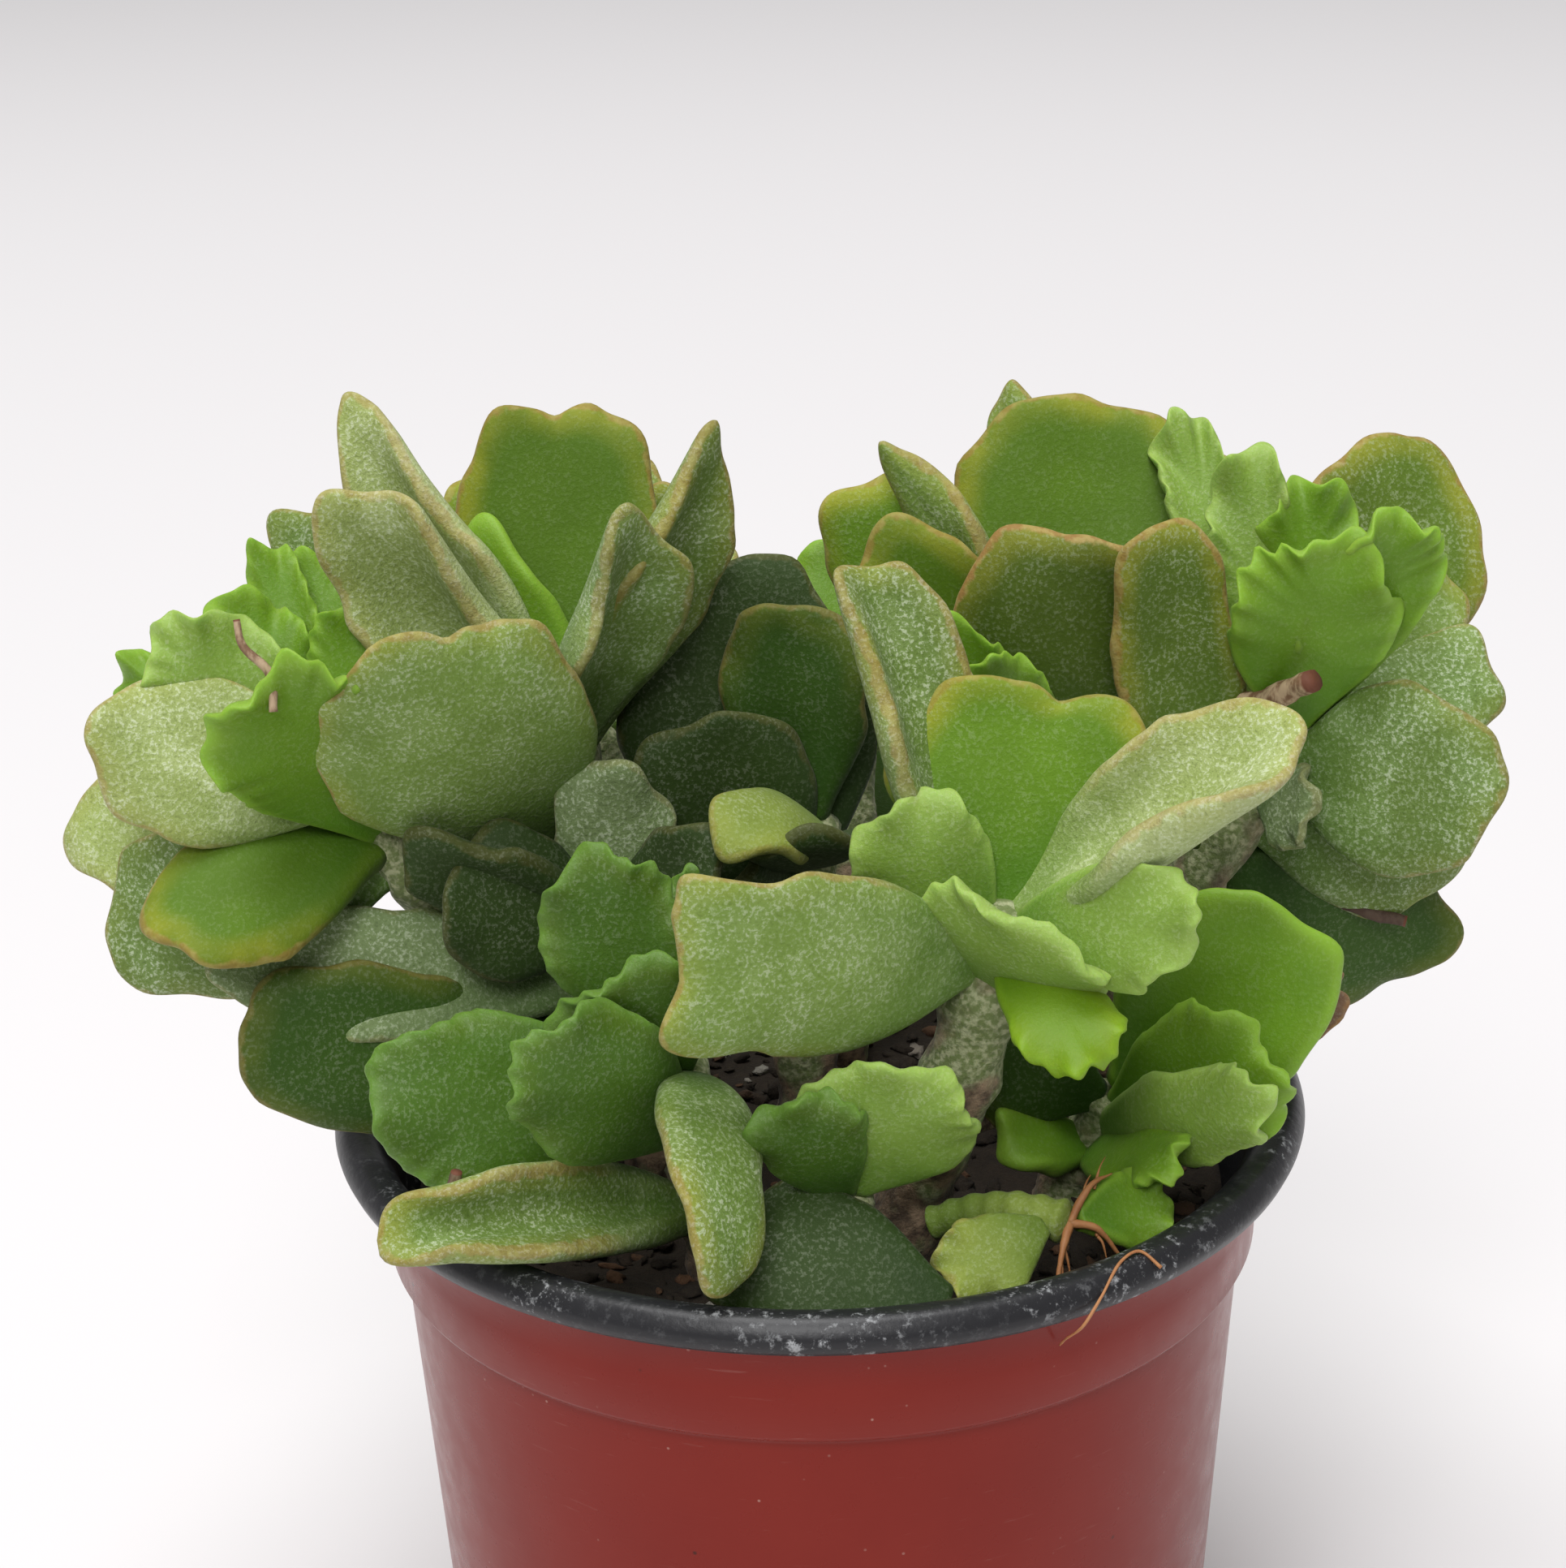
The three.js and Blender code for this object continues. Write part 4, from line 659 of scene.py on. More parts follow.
def bark_material():
    """Old stem: grey-green skin that cracks into rough brown cork towards the foot."""
    shader = Shader(
        "stem_bark", roughness=0.8, sheen_weight=0.1, subsurface_weight=0.03, subsurface_scale=0.001
    )
    along = shader.value("along")
    cork = shader.noise(2.2, 4, 0.6)
    brown = shader.mix(shader.ramp(cork, 0.35, 0.65), (0.05, 0.03, 0.015), (0.26, 0.18, 0.11))
    skin = shader.mix(shader.ramp(shader.noise(0.6, 3), 0.4, 0.65), (0.13, 0.17, 0.05), (0.34, 0.36, 0.2))
    height = shader.math("ADD", along, shader.ramp(shader.noise(5, 3), 0.3, 0.7, -0.3, 0.3))
    shader.set("Base Color", shader.mix(shader.ramp(height, 0.35, 0.7), brown, skin))
    shader.set("Normal", shader.bump(shader.noise(0.7, 4, 0.7), 0.25, shader.bump(cork, 0.4)))
    return shader.material


def root_material():
    """Thin fresh root: orange-brown, paler in places."""
    shader = Shader("root_skin", roughness=0.6, subsurface_weight=0.1, subsurface_scale=0.0008)
    shader.set("Base Color", shader.mix(shader.noise(2, 3), (0.22, 0.07, 0.02), (0.5, 0.24, 0.09)))
    shader.set("Normal", shader.bump(shader.noise(0.4, 2), 0.06))
    return shader.material


def twig_material():
    """Dry twigs, from pale beige to dark brown, with brown streaks and a red-brown cut end."""
    shader = Shader("dry_twig", roughness=0.75)
    streak = shader.noise(0.9, 3, 0.6, shader.stretched((1, 1, 0.4)))
    skin = shader.mix(shader.ramp(streak, 0.38, 0.62), (0.22, 0.12, 0.06), (0.55, 0.4, 0.25))
    skin = shader.mix(shader.value("tone"), skin, (0.04, 0.018, 0.012))
    cut_end = shader.ramp(shader.value("along"), 0.97, 0.99)
    shader.set("Base Color", shader.mix(cut_end, skin, (0.13, 0.04, 0.018)))
    shader.set("Normal", shader.bump(streak, 0.15))
    return shader.material


def soil_material():
    """Potting mix: near-black peat with brown bark and a little pale grit."""
    shader = Shader("potting_mix", roughness=0.95)
    tone = shader.value("tone")
    peat = shader.mix(shader.noise(1.5, 4, 0.6), (0.008, 0.006, 0.004), (0.045, 0.03, 0.018))
    bark = shader.mix(shader.ramp(tone, 0.55, 0.9), peat, (0.12, 0.06, 0.03))
    shader.set("Base Color", shader.mix(shader.ramp(tone, 0.965, 0.98), bark, (0.3, 0.28, 0.24)))
    shader.set("Normal", shader.bump(shader.noise(0.8, 4, 0.7), 0.4))
    return shader.material


def pot_outside_material():
    """Brick-red satin plastic with dust specks and faint scratches."""
    shader = Shader(
        "pot_red",
        roughness=0.32,
        specular_ior_level=0.12,
        coat_weight=0.3,
        coat_roughness=0.25,
        coat_ior=1.25,
    )
    cloud = shader.noise(16, 4, 0.6)
    red = shader.mix(cloud, (0.175, 0.013, 0.008), (0.22, 0.02, 0.012))
    scratch = shader.noise(1.2, 3, 0.6, shader.stretched((0.25, 0.25, 3)))
    red = shader.mix(shader.ramp(scratch, 0.66, 0.78, 0, 0.12), red, (0.5, 0.3, 0.26))
    specks = shader.ramp(shader.cells(2), 0.04, 0.09, 1, 0)
    dust = shader.product(specks, shader.ramp(cloud, 0.5, 0.62), 0.45)
    red = shader.mix(dust, red, (0.55, 0.36, 0.3))
    specks = shader.ramp(shader.cells(4.1), 0.03, 0.07, 1, 0)
    grit = shader.product(specks, shader.ramp(cloud, 0.5, 0.42), 0.8)
    red = shader.mix(grit, red, (0.03, 0.012, 0.008))
    shader.set("Base Color", red)
    shader.set("Roughness", shader.ramp(shader.noise(3, 4, 0.6), 0.3, 0.7, 0.26, 0.36))
    shader.set("Normal", shader.bump(shader.noise(9, 2), 0.05, shader.bump(scratch, 0.01)))
    return shader.material


def pot_inside_material():
    """Black plastic of the lip and the inside, with whitish lime left by dried water."""
    shader = Shader("pot_black", roughness=0.45, specular_ior_level=0.35)
    lime = shader.product(
        shader.ramp(shader.noise(1.1, 5, 0.75), 0.52, 0.7),
        shader.ramp(shader.noise(9, 3), 0.44, 0.66, 0.08, 0.85),
    )
    shader.set("Base Color", shader.mix(lime, (0.014, 0.014, 0.016), (0.4, 0.41, 0.42)))
    shader.set("Roughness", shader.math("ADD", 0.36, shader.product(lime, 0.5)))
    shader.set("Normal", shader.bump(shader.noise(1.4, 4, 0.6), 0.06))
    return shader.material


def floor_material():
    """Pale sweep: white around the pot and greyer further out, with painted shade where the light falls off.
    """
    shader = Shader("pale_floor", roughness=0.9, specular_ior_level=0.1)
    node = shader.tree.nodes.new("ShaderNodeVectorMath")
    node.operation = "LENGTH"
    shader.connect(node.inputs[0], shader.place)
    distance = node.outputs["Value"]
    # Painted shade by distance from the pot: a touch greyer close by, palest a little way out, greyer far out
    near = shader.mix(shader.ramp(distance, 0.35, 0.9), (0.735, 0.72, 0.726), (0.75, 0.735, 0.742))
    shader.set("Base Color", shader.mix(shader.ramp(distance, 0.8, 1.8), near, (0.71, 0.697, 0.703)))
    return shader.material


def outline(half, kind, stalk_share):
    """Half of a leaf's outline from its stalk, at 0, to its tip, at 1.

    Returns how far across, as a share of the half width, and how far along, as a share of the length.
    """
    rise = np.clip(half / SIDE_SHARE, 0, 1)
    side_across = stalk_share + (1 - stalk_share) * np.sin(rise * math.pi / 2) ** kind["neck"]
    side_along = kind["shoulder"] * rise
    turn = np.clip((half - SIDE_SHARE) / (1 - SIDE_SHARE), 0, 1) * math.pi / 2
    round_across = np.maximum(np.cos(turn), 0) ** (2 / kind["crest"])
    round_along = kind["shoulder"] + (1 - kind["shoulder"]) * np.sin(turn) ** (2 / kind["crest"])
    on_side = half < SIDE_SHARE
    return np.where(on_side, side_across, round_across), np.where(on_side, side_along, round_along)


def unit(vector):
    return vector / np.linalg.norm(vector)


def placed(x, y, z, base, shape):
    """Puts points of the flat leaf, x across, y along and z towards its face, where they belong."""
    tip = np.array(shape["tip"], float)
    along_axis = unit(tip - base)
    bearing, height = (math.radians(angle) for angle in shape["face"])
    face_axis = np.array([
        math.sin(bearing) * math.cos(height),
        -math.cos(bearing) * math.cos(height),
        math.sin(height),
    ])
    face_axis = unit(face_axis - along_axis * face_axis.dot(along_axis))
    across_axis = np.cross(along_axis, face_axis)

    bend = math.radians(shape["bend"] or NO_TURN)
    length = shape["length"]
    roll = math.radians(shape["cup"] or NO_TURN) / (shape["width"] / 2)
    rolled_x = (1 / roll - z) * np.sin(x * roll)
    rolled_z = 1 / roll - (1 / roll - z) * np.cos(x * roll)
    turn = math.radians(shape["twist"]) * (y / length)
    turned_x = rolled_x * np.cos(turn) - rolled_z * np.sin(turn)
    turned_z = rolled_x * np.sin(turn) + rolled_z * np.cos(turn)
    bend_radius = length / bend
    bend_angle = y / bend_radius
    bent_y = (bend_radius - turned_z) * np.sin(bend_angle)
    bent_z = bend_radius - (bend_radius - turned_z) * np.cos(bend_angle)
    end_y = bent_y * math.cos(bend / 2) + bent_z * math.sin(bend / 2)
    end_z = bent_z * math.cos(bend / 2) - bent_y * math.sin(bend / 2)
    return (
        base
        + across_axis * turned_x[:, None]
        + along_axis * end_y[:, None]
        + face_axis * end_z[:, None]
    )


def blade_faces():
    """The faces of a leaf's mesh: the rings of its face and of its back, and the cut end of its stalk.

    The rows run ring by ring, first those of the face and then those of the back, which shares the edge.
    Both sides of the spine's rows are the same points.
    """
    rings = len(LEAF_RINGS)
    columns = 2 * LEAF_STEPS + 1
    index = np.arange(columns)
    mirrored = np.minimum(index, 2 * LEAF_STEPS - index)
    rows = [index + row * columns for row in range(2 * rings - 1)]
    upper = [mirrored, *rows[1:rings]]
    lower = [mirrored + rings * columns, *rows[rings + 1:], upper[-1]]
    faces = []
    for stack, turned in ((upper, False), (lower, True)):
        for inner, outer in zip(stack, stack[1:]):
            for column in range(2 * LEAF_STEPS):
                corners = [inner[column], inner[column + 1], outer[column + 1], outer[column]]
                faces.append(corners[::-1] if turned else corners)
    foot = [row[0] for row in upper[::-1]] + [row[-1] for row in upper[1:]]
    foot += [row[-1] for row in lower[-2::-1]] + [row[0] for row in lower[1:-1]]
    faces.append(foot[::-1])
    return faces


def add_leaf(pile, shape, base, phase, draw, materials):
    """One leaf as a closed lens-shaped blade with a waved and crimped edge.

    phase shifts the slow waves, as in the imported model, and draw gives the random numbers of the fine ones.
    """
    index = np.arange(2 * LEAF_STEPS + 1)
    half = np.minimum(index, 2 * LEAF_STEPS - index) / LEAF_STEPS
    hand = np.where(index <= LEAF_STEPS, -1, 1)
    from_tip = hand * (1 - half)
    chord = np.linalg.norm(np.array(shape["tip"], float) - base)
    bend = math.radians(shape["bend"] or NO_TURN)
    length = chord * (bend / 2) / math.sin(bend / 2)
    shape = {**shape, "length": length}
    half_width = shape["width"] / 2
    half_thick = shape["thick"] / 2
    stalk_share = min(shape["stalk"] / 2 / half_width, 0.9)

    across, along = outline(half, shape, stalk_share)
    crest = smoothstep(along, WAVE_START, WAVE_FULL)
    swing = math.pi * shape["waves"] * from_tip
    scallop = 1 + shape["scallop"] * crest * np.cos(swing * SCALLOP_RATE + 2 * phase)
    edge_x = hand * half_width * across * scallop
    edge_y = length * along * scallop
    spine_y = length * SPINE_REACH * along
    wave = shape["ruffle"] * crest * np.cos(swing + phase)

    steps_mm = np.hypot(np.diff(edge_x), np.diff(edge_y))
    reach = np.concatenate([[0], np.cumsum(steps_mm)])
    reach -= reach[LEAF_STEPS]
    shifts = draw.uniform(0, 2 * math.pi, 8)
    drift = 1.1 * np.sin(reach / 4.3 + shifts[0]) + 0.7 * np.sin(reach / 2.1 + shifts[1])
    crimp_turn = 2 * math.pi * reach / shape["pitch"] + drift
    swell = 0.7 + 0.3 * np.sin(reach / 3.7 + shifts[2])
    crimp = np.sin(crimp_turn) * swell * crest
    lobe = (np.sin(reach / 2.1 + shifts[3]) + 0.6 * np.sin(reach / 1.15 + shifts[4])) * crest
    dent = sum(
        depth * np.exp(-(((from_tip - place) / width) ** 2)) for place, depth, width in shape["dents"]
    )

    out_x, out_y = edge_x, edge_y - spine_y
    out_length = np.maximum(np.hypot(out_x, out_y), 1e-6)
    push = shape["notch"] * np.cos(crimp_turn + 0.6) * swell * crest + shape["lobe"] * lobe - dent
    thin = 1 - TIP_THINNING * along**2

    rows = []
    values = []
    for side, out in [(1, out) for out in LEAF_RINGS] + [(-1, out) for out in LEAF_RINGS[:-1]]:
        shifted = push * out**3
        x = edge_x * out + out_x / out_length * shifted
        y = spine_y + (edge_y - spine_y) * out + out_y / out_length * shifted
        fine = shape["crimp"] * crimp * out ** shape["fold"]
        belly = BELLY * np.sin(x / 3.1 + shifts[5]) * np.sin(y / 3.9 + shifts[6]) * smoothstep(y, 2, 9)
        z = wave * out**3 + fine + belly + side * half_thick * thin * math.sqrt(1 - out**EDGE_ROUND)
        rows.append(placed(x, y, z, base, shape))
        facing = 0.5 if out == 1 else (1 + side) / 2
        values.append(((1 - out) * out_length, along, np.full(len(index), facing)))

    faces = blade_faces()
    used = sorted({corner for face in faces for corner in face})
    renumbered = {corner: number for number, corner in enumerate(used)}
    edge, share_along, upper = (np.concatenate(column)[used] for column in zip(*values))
    pile.add(
        np.concatenate(rows)[used],
        [[renumbered[corner] for corner in face] for face in faces],
        materials[shape["look"]],
        edge=edge,
        along=share_along,
        upper=upper,
        tone=draw.uniform(),
    )


def faces_between(rings, sides, first=0):
    """The faces between rings of points, which run on from the point with the number first."""
    faces = []
    for ring in range(rings - 1):
        low = first + ring * sides
        high = low + sides
        for side in range(sides):
            following = (side + 1) % sides
            faces.append([low + side, low + following, high + following, high + side])
    return faces


def faces_around(centre, first, sides, upwards):
    """The faces from a centre point to the ring whose points start at the number first."""
    ring = [first + side for side in range(sides)]
    turned = ring[1:] + ring[:1]
    return [[centre, here, there] if upwards else [centre, there, here] for here, there in zip(ring, turned)]


def add_tube(pile, points, radius_at, steps, sides, material, rough=0.0, tone=0.0):
    """A round bar along a curve, with a radius for each share of the way and a rough skin."""
    path = Path(points)
    shares = np.linspace(0, 1, steps + 1)
    centres = path.at(shares)
    tangents = np.gradient(centres, axis=0)
    side_axis = unit(np.cross(tangents[0], (0.3, 1, 0.2)))
    angles = np.arange(sides) / sides * 2 * math.pi
    rows = []
    for share, centre, tangent in zip(shares, centres, tangents):
        tangent = unit(tangent)
        side_axis = unit(side_axis - tangent * side_axis.dot(tangent))
        other_axis = np.cross(tangent, side_axis)
        ring = centre + radius_at(share) * (
            np.cos(angles)[:, None] * side_axis + np.sin(angles)[:, None] * other_axis
        )
        if rough:
            for number, point in enumerate(ring):
                lump = noise.noise(Vector(point) / 1.9) + 0.5 * noise.noise(Vector(point) / 0.8)
                ring[number] = point + unit(point - centre) * lump * rough
        rows.append(ring)
    faces = faces_between(steps + 1, sides)
    faces.append(list(range(sides))[::-1])
    faces.append([steps * sides + side for side in range(sides)])
    pile.add(
        np.concatenate(rows), faces, material, edge=9, along=np.repeat(shares, sides), upper=1, tone=tone
    )


def stem_radius(stem):
    """The radius of a stem at each share of its height, with the low knobs that old leaves left."""
    def radius_at(share):
        knobs = 1 + (KNOB_SWELL - 1) * math.cos(share * KNOB_RATE)
        over = max(share - (1 - CLOSING_TOP), 0) / CLOSING_TOP
        closed_top = math.sqrt(max(1 - over**2, SMALLEST_TOP))
        return (stem["foot"] + (stem["top"] - stem["foot"]) * share) * knobs * closed_top
    return radius_at


def add_leafy_stem(pile, stem, seed, materials):
    """A stem with its leaves. Returns the random numbers, for what else grows on it."""
    phases = seeded_random(seed)
    draw = np.random.RandomState(seed)
    path = Path(stem["axis"])
    old = stem["foot"] > BARK_FROM_FOOT
    skin, rough = (materials["bark"], BARK_ROUGH) if old else (materials["straw"], SKIN_ROUGH)
    add_tube(pile, stem["axis"], stem_radius(stem), STEM_STEPS, STEM_SIDES, skin, rough)
    for shape in stem["leaves"]:
        on_axis = path.at(min(shape["at"], HIGHEST_LEAF))
        base = on_axis + LEAF_ROOT * unit(np.array(shape["tip"], float) - on_axis)
        add_leaf(pile, shape, base, next(phases) * 2 * math.pi, draw, materials)
    return draw


def pot_outline():
    """The pot's closed outline as (radius, height) points, and how many of them are red outside."""
    lip = Path([
        (RIM_RADIUS - 0.4, 0, POT_HEIGHT - 2.9),
        (RIM_RADIUS, 0, POT_HEIGHT - 1.7),
        (RIM_RADIUS - 1.2, 0, POT_HEIGHT),
        (RIM_RADIUS - 3, 0, POT_HEIGHT - 0.1),
        (RIM_RADIUS - 4.1, 0, POT_HEIGHT - 1.2),
        (COLLAR_RADIUS - WALL, 0, COLLAR_TOP),
    ]).at(np.linspace(0, 1, 26))[:, [0, 2]]
    outside = [
        (0, 0),
        (BASE_RADIUS - 6, 0),
        (BASE_RADIUS - BASE_EDGE, 0),
        (BASE_RADIUS - 0.2, 0.2),
        (BASE_RADIUS, BASE_EDGE),
        (BASE_RADIUS + 0.1, 1.6),
        *[
            (BASE_RADIUS + (BODY_TOP_RADIUS - BASE_RADIUS) * height / BODY_TOP, height)
            for height in np.linspace(4, BODY_TOP - 0.4, 16)
        ],
        (BODY_TOP_RADIUS, BODY_TOP),
        (COLLAR_RADIUS - COLLAR_DRAFT - 0.3, COLLAR_FOOT - 0.3),
        (COLLAR_RADIUS - COLLAR_DRAFT, COLLAR_FOOT + 0.2),
        (COLLAR_RADIUS - COLLAR_DRAFT / 2, (COLLAR_FOOT + COLLAR_TOP) / 2),
        (COLLAR_RADIUS, COLLAR_TOP - 0.5),
        (COLLAR_RADIUS + 0.4, COLLAR_TOP),
    ]
    inside = [
        (COLLAR_RADIUS - COLLAR_DRAFT - WALL, COLLAR_FOOT + 0.3),
        (BODY_TOP_RADIUS - WALL, BODY_TOP),
        (BASE_RADIUS - WALL, FLOOR + 0.8),
        (BASE_RADIUS - WALL - 0.8, FLOOR),
        (BASE_RADIUS - 6, FLOOR),
        (0, FLOOR),
    ]
    return [*outside, *[tuple(point) for point in lip], *inside], len(outside)


def drill_holes(piece):
    """Cuts the drain holes in the pot's base."""
    drills = bmesh.new()
    for hole in range(DRAIN_HOLES):
        angle = hole / DRAIN_HOLES * 2 * math.pi
        centre = (DRAIN_CIRCLE_RADIUS * MM * math.cos(angle), DRAIN_CIRCLE_RADIUS * MM * math.sin(angle), 0)
        radius = DRAIN_HOLE_RADIUS * MM
        bmesh.ops.create_cone(
            drills, cap_ends=True, segments=40, radius1=radius, radius2=radius, depth=4 * FLOOR * MM,
            matrix=Matrix.Translation(centre),
        )
    mesh = bpy.data.meshes.new("drills")
    drills.to_mesh(mesh)
    drills.free()
    drill = bpy.data.objects.new("drills", mesh)
    bpy.context.scene.collection.objects.link(drill)
    cut = piece.modifiers.new("holes", "BOOLEAN")
    cut.operation = "DIFFERENCE"
    cut.object = drill
    bpy.context.view_layer.update()
    bored = bpy.data.meshes.new_from_object(piece.evaluated_get(bpy.context.evaluated_depsgraph_get()))
    piece.modifiers.clear()
    piece.data = bored
    bpy.data.objects.remove(drill)


def make_pot(red, black):
    """The pot, turned from one closed outline, a touch out of round as thin plastic is."""
    points, red_count = pot_outline()
    pile = Pile()
    angles = np.arange(POT_SIDES) / POT_SIDES * 2 * math.pi
    out_of_round = 1 + 0.0018 * np.cos(2 * angles + 0.6) + 0.0008 * np.cos(5 * angles)
    rings = []
    for radius, height in points[1:-1]:
        rings.append(np.stack([
            radius * out_of_round * np.cos(angles),
            radius * out_of_round * np.sin(angles),
            np.full(POT_SIDES, float(height)),
        ], -1))
    vertices = np.concatenate([[(0, 0, points[0][1]), (0, 0, points[-1][1])], *rings])

    last = 2 + (len(rings) - 1) * POT_SIDES
    bands = faces_between(len(rings), POT_SIDES, 2)
    red_bands = (red_count - 1) * POT_SIDES
    outer = faces_around(0, 2, POT_SIDES, False) + bands[:red_bands]
    inner = faces_around(1, last, POT_SIDES, True) + bands[red_bands:]
    pile.add(vertices, outer, red)
    pile.materials.append(black)
    pile.faces.extend(inner)
    pile.face_materials.extend([1] * len(inner))
    piece = pile.build("pot_shell", "pot", "pot")
    drill_holes(piece)


def soil_height(x, y):
    """The height of the soil's top: lumps of several sizes."""
    lump = noise.noise(Vector((x, y, 3)) / 9) + 0.6 * noise.noise(Vector((x, y, 7)) / 3.4)
    lump += 0.35 * noise.noise(Vector((x, y, 11)) / 1.3)
    return SOIL_TOP + SOIL_LUMP * lump


def make_soil(material):
    """The plug of soil with its lumpy top, and the crumbs that lie on it."""
    pile = Pile()
    floor = FLOOR + SOIL_GAP

    def wall_at(height):
        return BASE_RADIUS + (BODY_TOP_RADIUS - BASE_RADIUS) * height / BODY_TOP - WALL - SOIL_GAP

    angles = np.arange(SOIL_SIDES) / SOIL_SIDES * 2 * math.pi
    circle = np.stack([np.cos(angles), np.sin(angles)], -1)
    rings = [(wall_at(floor), floor), (wall_at(SOIL_SHOULDER), SOIL_SHOULDER)]
    points = [(0, 0, floor), (0, 0, soil_height(0, 0))]
    for radius, height in rings:
        points += [(*(radius * corner), height) for corner in circle]
    for ring in range(SOIL_RINGS, 0, -1):
        radius = wall_at(SOIL_SHOULDER) * ring / SOIL_RINGS
        points += [(*(radius * corner), soil_height(*(radius * corner))) for corner in circle]
    last = 2 + (SOIL_RINGS + 1) * SOIL_SIDES
    faces = faces_between(SOIL_RINGS + 2, SOIL_SIDES, 2)
    faces += faces_around(0, 2, SOIL_SIDES, False) + faces_around(1, last, SOIL_SIDES, True)
    pile.add(points, faces, material, tone=0.3)

    blob = bmesh.new()
    bmesh.ops.create_icosphere(blob, subdivisions=2, radius=1)
    blob_points = np.array([vertex.co[:] for vertex in blob.verts])
    blob_faces = [[vertex.index for vertex in face.verts] for face in blob.faces]
    blob.free()
    draw = np.random.RandomState(CRUMB_SEED)
    for _ in range(CRUMBS):
        radius = (wall_at(SOIL_SHOULDER) - CRUMB_TO_WALL) * math.sqrt(draw.uniform())
        angle = draw.uniform(0, 2 * math.pi)
        x, y = radius * math.cos(angle), radius * math.sin(angle)
        size = CRUMB_RADIUS + CRUMB_GROWTH * draw.uniform() ** 2.5
        stretch = size * draw.uniform((0.8, 0.5, 0.35), (1.9, 1.0, 0.7))
        spin = Matrix.Rotation(draw.uniform(0, 2 * math.pi), 3, "Z")
        turn = spin @ Matrix.Rotation(draw.uniform(-0.6, 0.6), 3, "Y")
        shape = blob_points * (1 + 0.22 * draw.standard_normal((len(blob_points), 1))) * stretch
        shape = shape @ np.array(turn).T + (x, y, soil_height(x, y) + 0.2 * size)
        pile.add(shape, blob_faces, material, tone=draw.uniform())
    pile.build("soil_bed", "soil", "soil")


def add_root(pile, points, thick, material):
    """A thin root that tapers to its end."""
    add_tube(
        pile, points, lambda share: thick * (1 - ROOT_TAPER * share), ROOT_STEPS, ROOT_SIDES, material,
        rough=thick * 0.3,
    )


def make_cutting(stem, seed, materials):
    """The short rooted piece on the soil: its stem, its two leaves and its orange roots."""
    pile = Pile()
    draw = add_leafy_stem(pile, stem, seed, materials)
    top = np.array(stem["axis"][-1], float)
    for tip in stem["roots"]:
        tip = np.array(tip, float)
        middle = (top + tip) / 2 + (0, 0, ROOT_ARCH)
        add_root(pile, [top, middle, tip], ROOT_RADIUS, materials["root"])
        for _ in range(SIDE_ROOTS):
            start = top + (tip - top) * draw.uniform(0.2, 0.6) + (0, 0, 0.5)
            end = tip + draw.uniform(-2.5, 2.5, 3) * (1, 1, 0.4)
            middle = (start + end) / 2 + (0, 0, 0.5)
            add_root(pile, [start, middle, end], SIDE_ROOT_RADIUS, materials["root"])
    pile.build("rooted_cutting_body", "cutting", "rooted_cutting")


def make_litter(materials):
    """Dry bits caught in the plant: a twig, a cut stalk, a stick, a crumb and a root thread on the lip."""
    pile = Pile()
    twig = materials["twig"]
    for points, thick, tone in LITTER:
        add_tube(pile, points, lambda share: thick * (1 - 0.25 * share), 30, 12, twig, thick * 0.25, tone)
    pile.build("dry_litter", "cutting")
    pile = Pile()
    add_tube(pile, THREAD, lambda share: 0.16 - 0.06 * share, 60, 8, materials["root"], 0.03)
    pile.build("root_thread", "cutting")


# The studio, in metres: each light's place, its width and its power in watts, the point they look at, the
# surround's colour and strength, and the radius of the floor
LIGHTS = {"top_light": ((-0.2, -0.2, 2.4), 1.5, 50), "front_light": ((-0.3, -1.9, 2), 1.1, 36)}
LIT_POINT = (0, 0, 0.09)
SURROUND_COLOUR = (1, 0.985, 0.99, 1)
SURROUND_STRENGTH = 0.33
FLOOR_RADIUS = 6

# The photograph's view: its place in metres, how far it looks down and rolls in degrees, and the lens in mm
CAMERA_PLACE = (-0.0026, -0.2721, 0.2157)
CAMERA_DOWN = 21.7
CAMERA_ROLL = -1.41
CAMERA_LENS = 74.53
CAMERA_SENSOR = 36


def make_light(name, place, size, power):
    """A soft square light that looks at the plant."""
    lamp = bpy.data.lights.new(name, "AREA")
    lamp.size = size
    lamp.energy = power
    light = bpy.data.objects.new(name, lamp)
    light.location = place
    towards = Vector(LIT_POINT) - Vector(place)
    light.rotation_euler = towards.to_track_quat("-Z", "Y").to_euler()
    bpy.context.scene.collection.objects.link(light)


def make_studio():
    """A pale sweep, a big soft light above and an even pale surround."""
    sweep = bmesh.new()
    bmesh.ops.create_circle(sweep, cap_ends=True, segments=96, radius=FLOOR_RADIUS)
    mesh = bpy.data.meshes.new("floor")
    sweep.to_mesh(mesh)
    sweep.free()
    mesh.materials.append(floor_material())
    floor = bpy.data.objects.new("floor", mesh)
    bpy.context.scene.collection.objects.link(floor)

    world = bpy.data.worlds.new("surround")
    world.use_nodes = True
    background = world.node_tree.nodes["Background"]
    background.inputs["Color"].default_value = SURROUND_COLOUR
    background.inputs["Strength"].default_value = SURROUND_STRENGTH
    bpy.context.scene.world = world
    for name, (place, size, power) in LIGHTS.items():
        make_light(name, place, size, power)


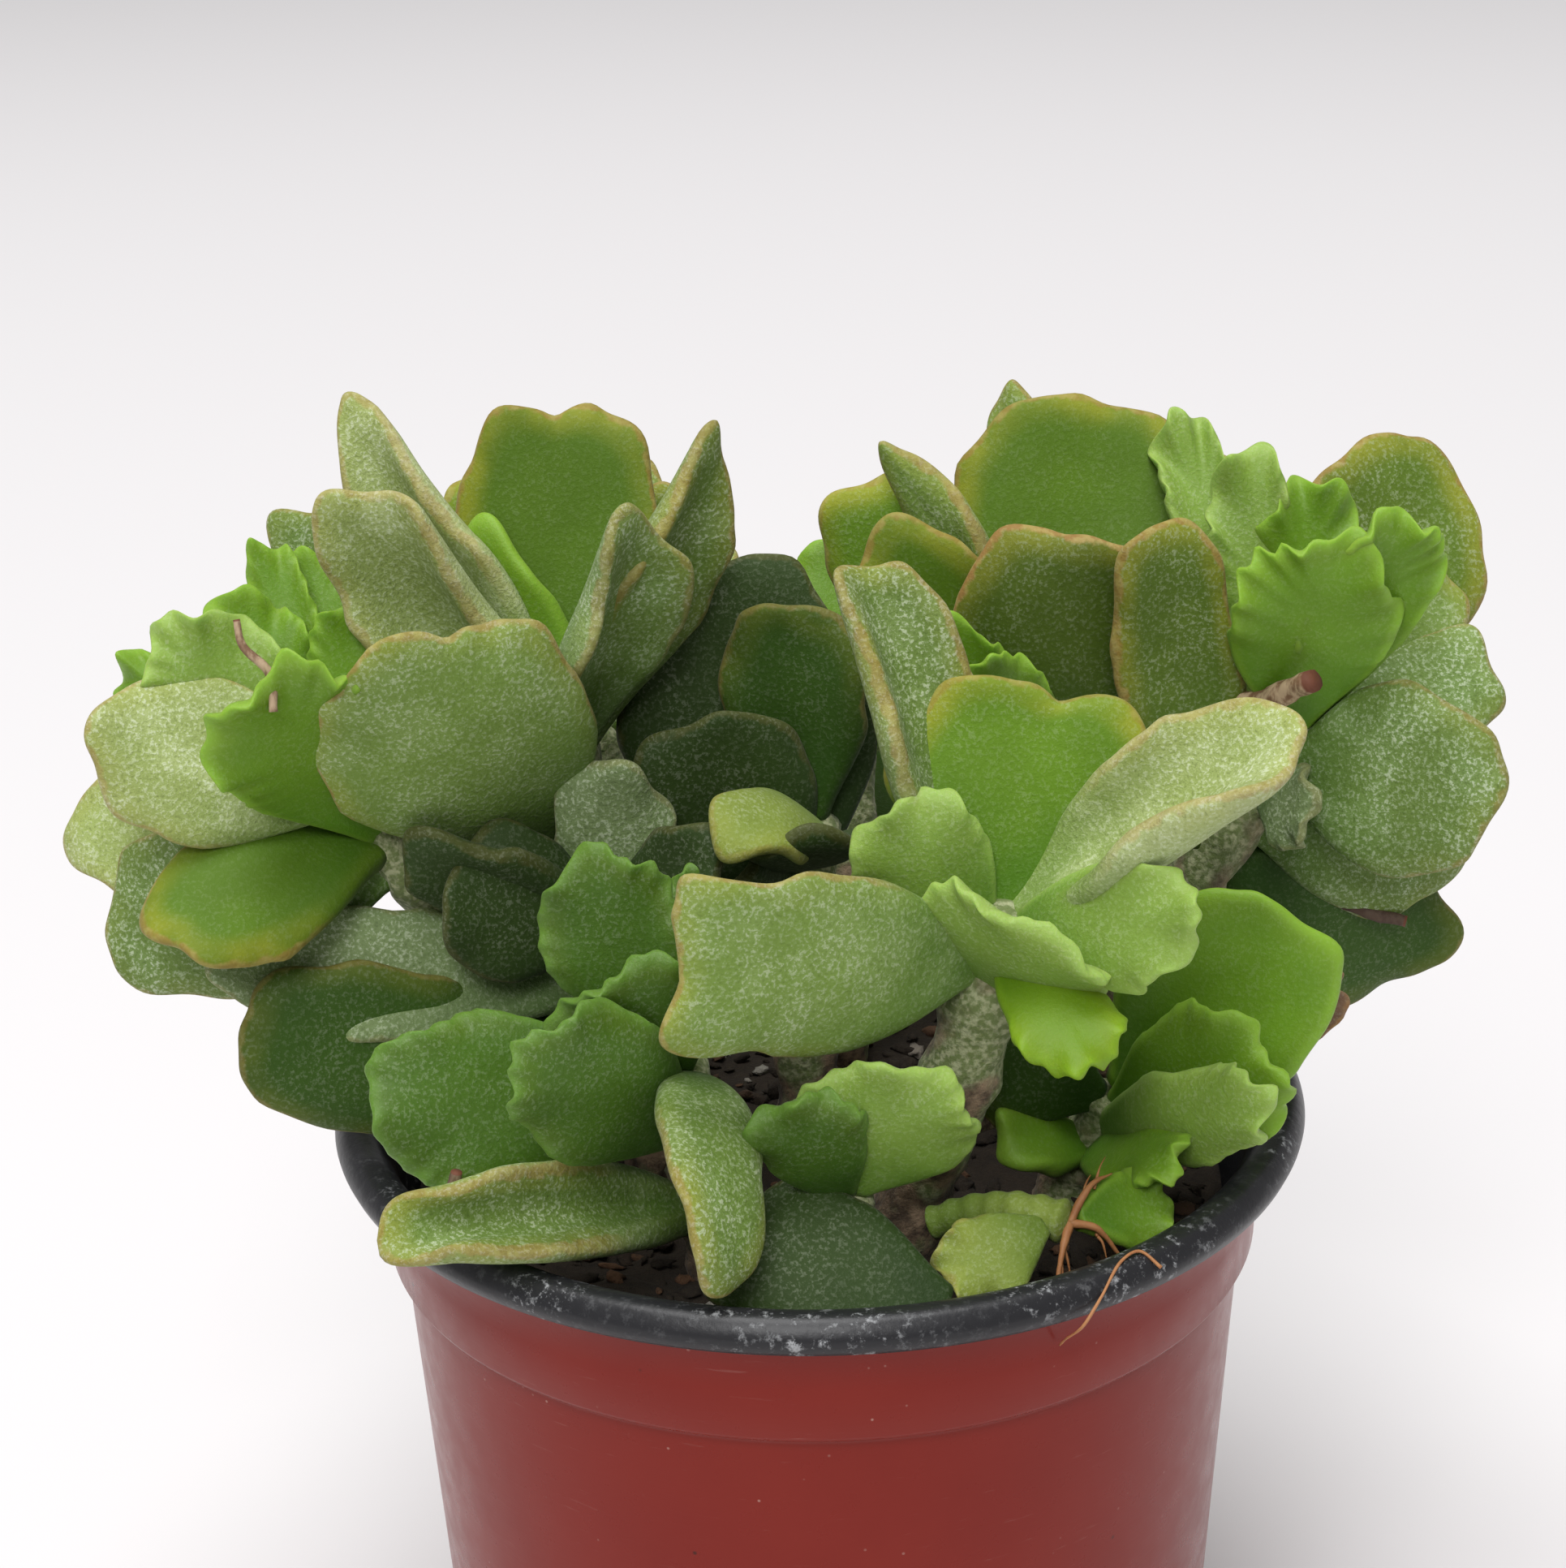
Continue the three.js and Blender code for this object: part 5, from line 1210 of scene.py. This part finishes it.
def make_camera():
    """The photograph's view: slightly rolled, looking down on the plant."""
    down = math.radians(CAMERA_DOWN)
    roll = math.radians(CAMERA_ROLL)
    forward = Vector((0, math.cos(down), -math.sin(down)))
    level_right = Vector((1, 0, 0))
    level_up = level_right.cross(forward)
    right = level_right * math.cos(roll) + level_up * math.sin(roll)
    up = level_up * math.cos(roll) - level_right * math.sin(roll)
    turn = Matrix((right, up, -forward)).transposed()
    lens = bpy.data.cameras.new("photo_camera")
    lens.sensor_width = CAMERA_SENSOR
    lens.lens = CAMERA_LENS
    camera = bpy.data.objects.new("photo_camera", lens)
    camera.matrix_world = Matrix.Translation(CAMERA_PLACE) @ turn.to_4x4()
    bpy.context.scene.collection.objects.link(camera)
    bpy.context.scene.camera = camera


# The slot that the leaves of each node belong to
SLOTS = {
    "mature_leaves": (
        "stem_front_right", "stem_upper_left", "stem_back_right", "stem_back_left", "stem_back_far_right"
    ),
    "young_leaves": (
        "rosette_left", "rosette_front_left", "rosette_right", "rosette_low_right", "rosette_front",
        "stem_back_centre",
    ),
    "shaded_leaves": ("stem_inner_left", "stem_centre", "fallen_leaf"),
}


def slot_of(node):
    return next(slot for slot, nodes in SLOTS.items() if node in nodes)


def make_plant():
    """Every leafy stem, the cutting, the fallen leaf and the litter, each as its own piece."""
    materials = {name: leaf_material(name, look) for name, look in LOOKS.items()}
    materials["bark"] = bark_material()
    materials["root"] = root_material()
    materials["twig"] = twig_material()
    for number, stem in enumerate(STEMS):
        seed = FIRST_STEM_SEED + number
        if stem["name"] == "rooted_cutting":
            make_cutting(stem, seed, materials)
            continue
        pile = Pile()
        add_leafy_stem(pile, stem, seed, materials)
        pile.build(f'{stem["name"]}_body', slot_of(stem["name"]), stem["name"])
    pile = Pile()
    base = np.array(FALLEN_FROM, float)
    add_leaf(pile, FALLEN_LEAF, base, FALLEN_PHASE, np.random.RandomState(FALLEN_SEED), materials)
    pile.build("fallen_leaf_body", slot_of("fallen_leaf"), "fallen_leaf")
    make_litter(materials)


bpy.context.scene.view_settings.view_transform = "Standard"
make_camera()
make_studio()
make_pot(pot_outside_material(), pot_inside_material())
make_soil(soil_material())
make_plant()

bpy.context.view_layer.update()
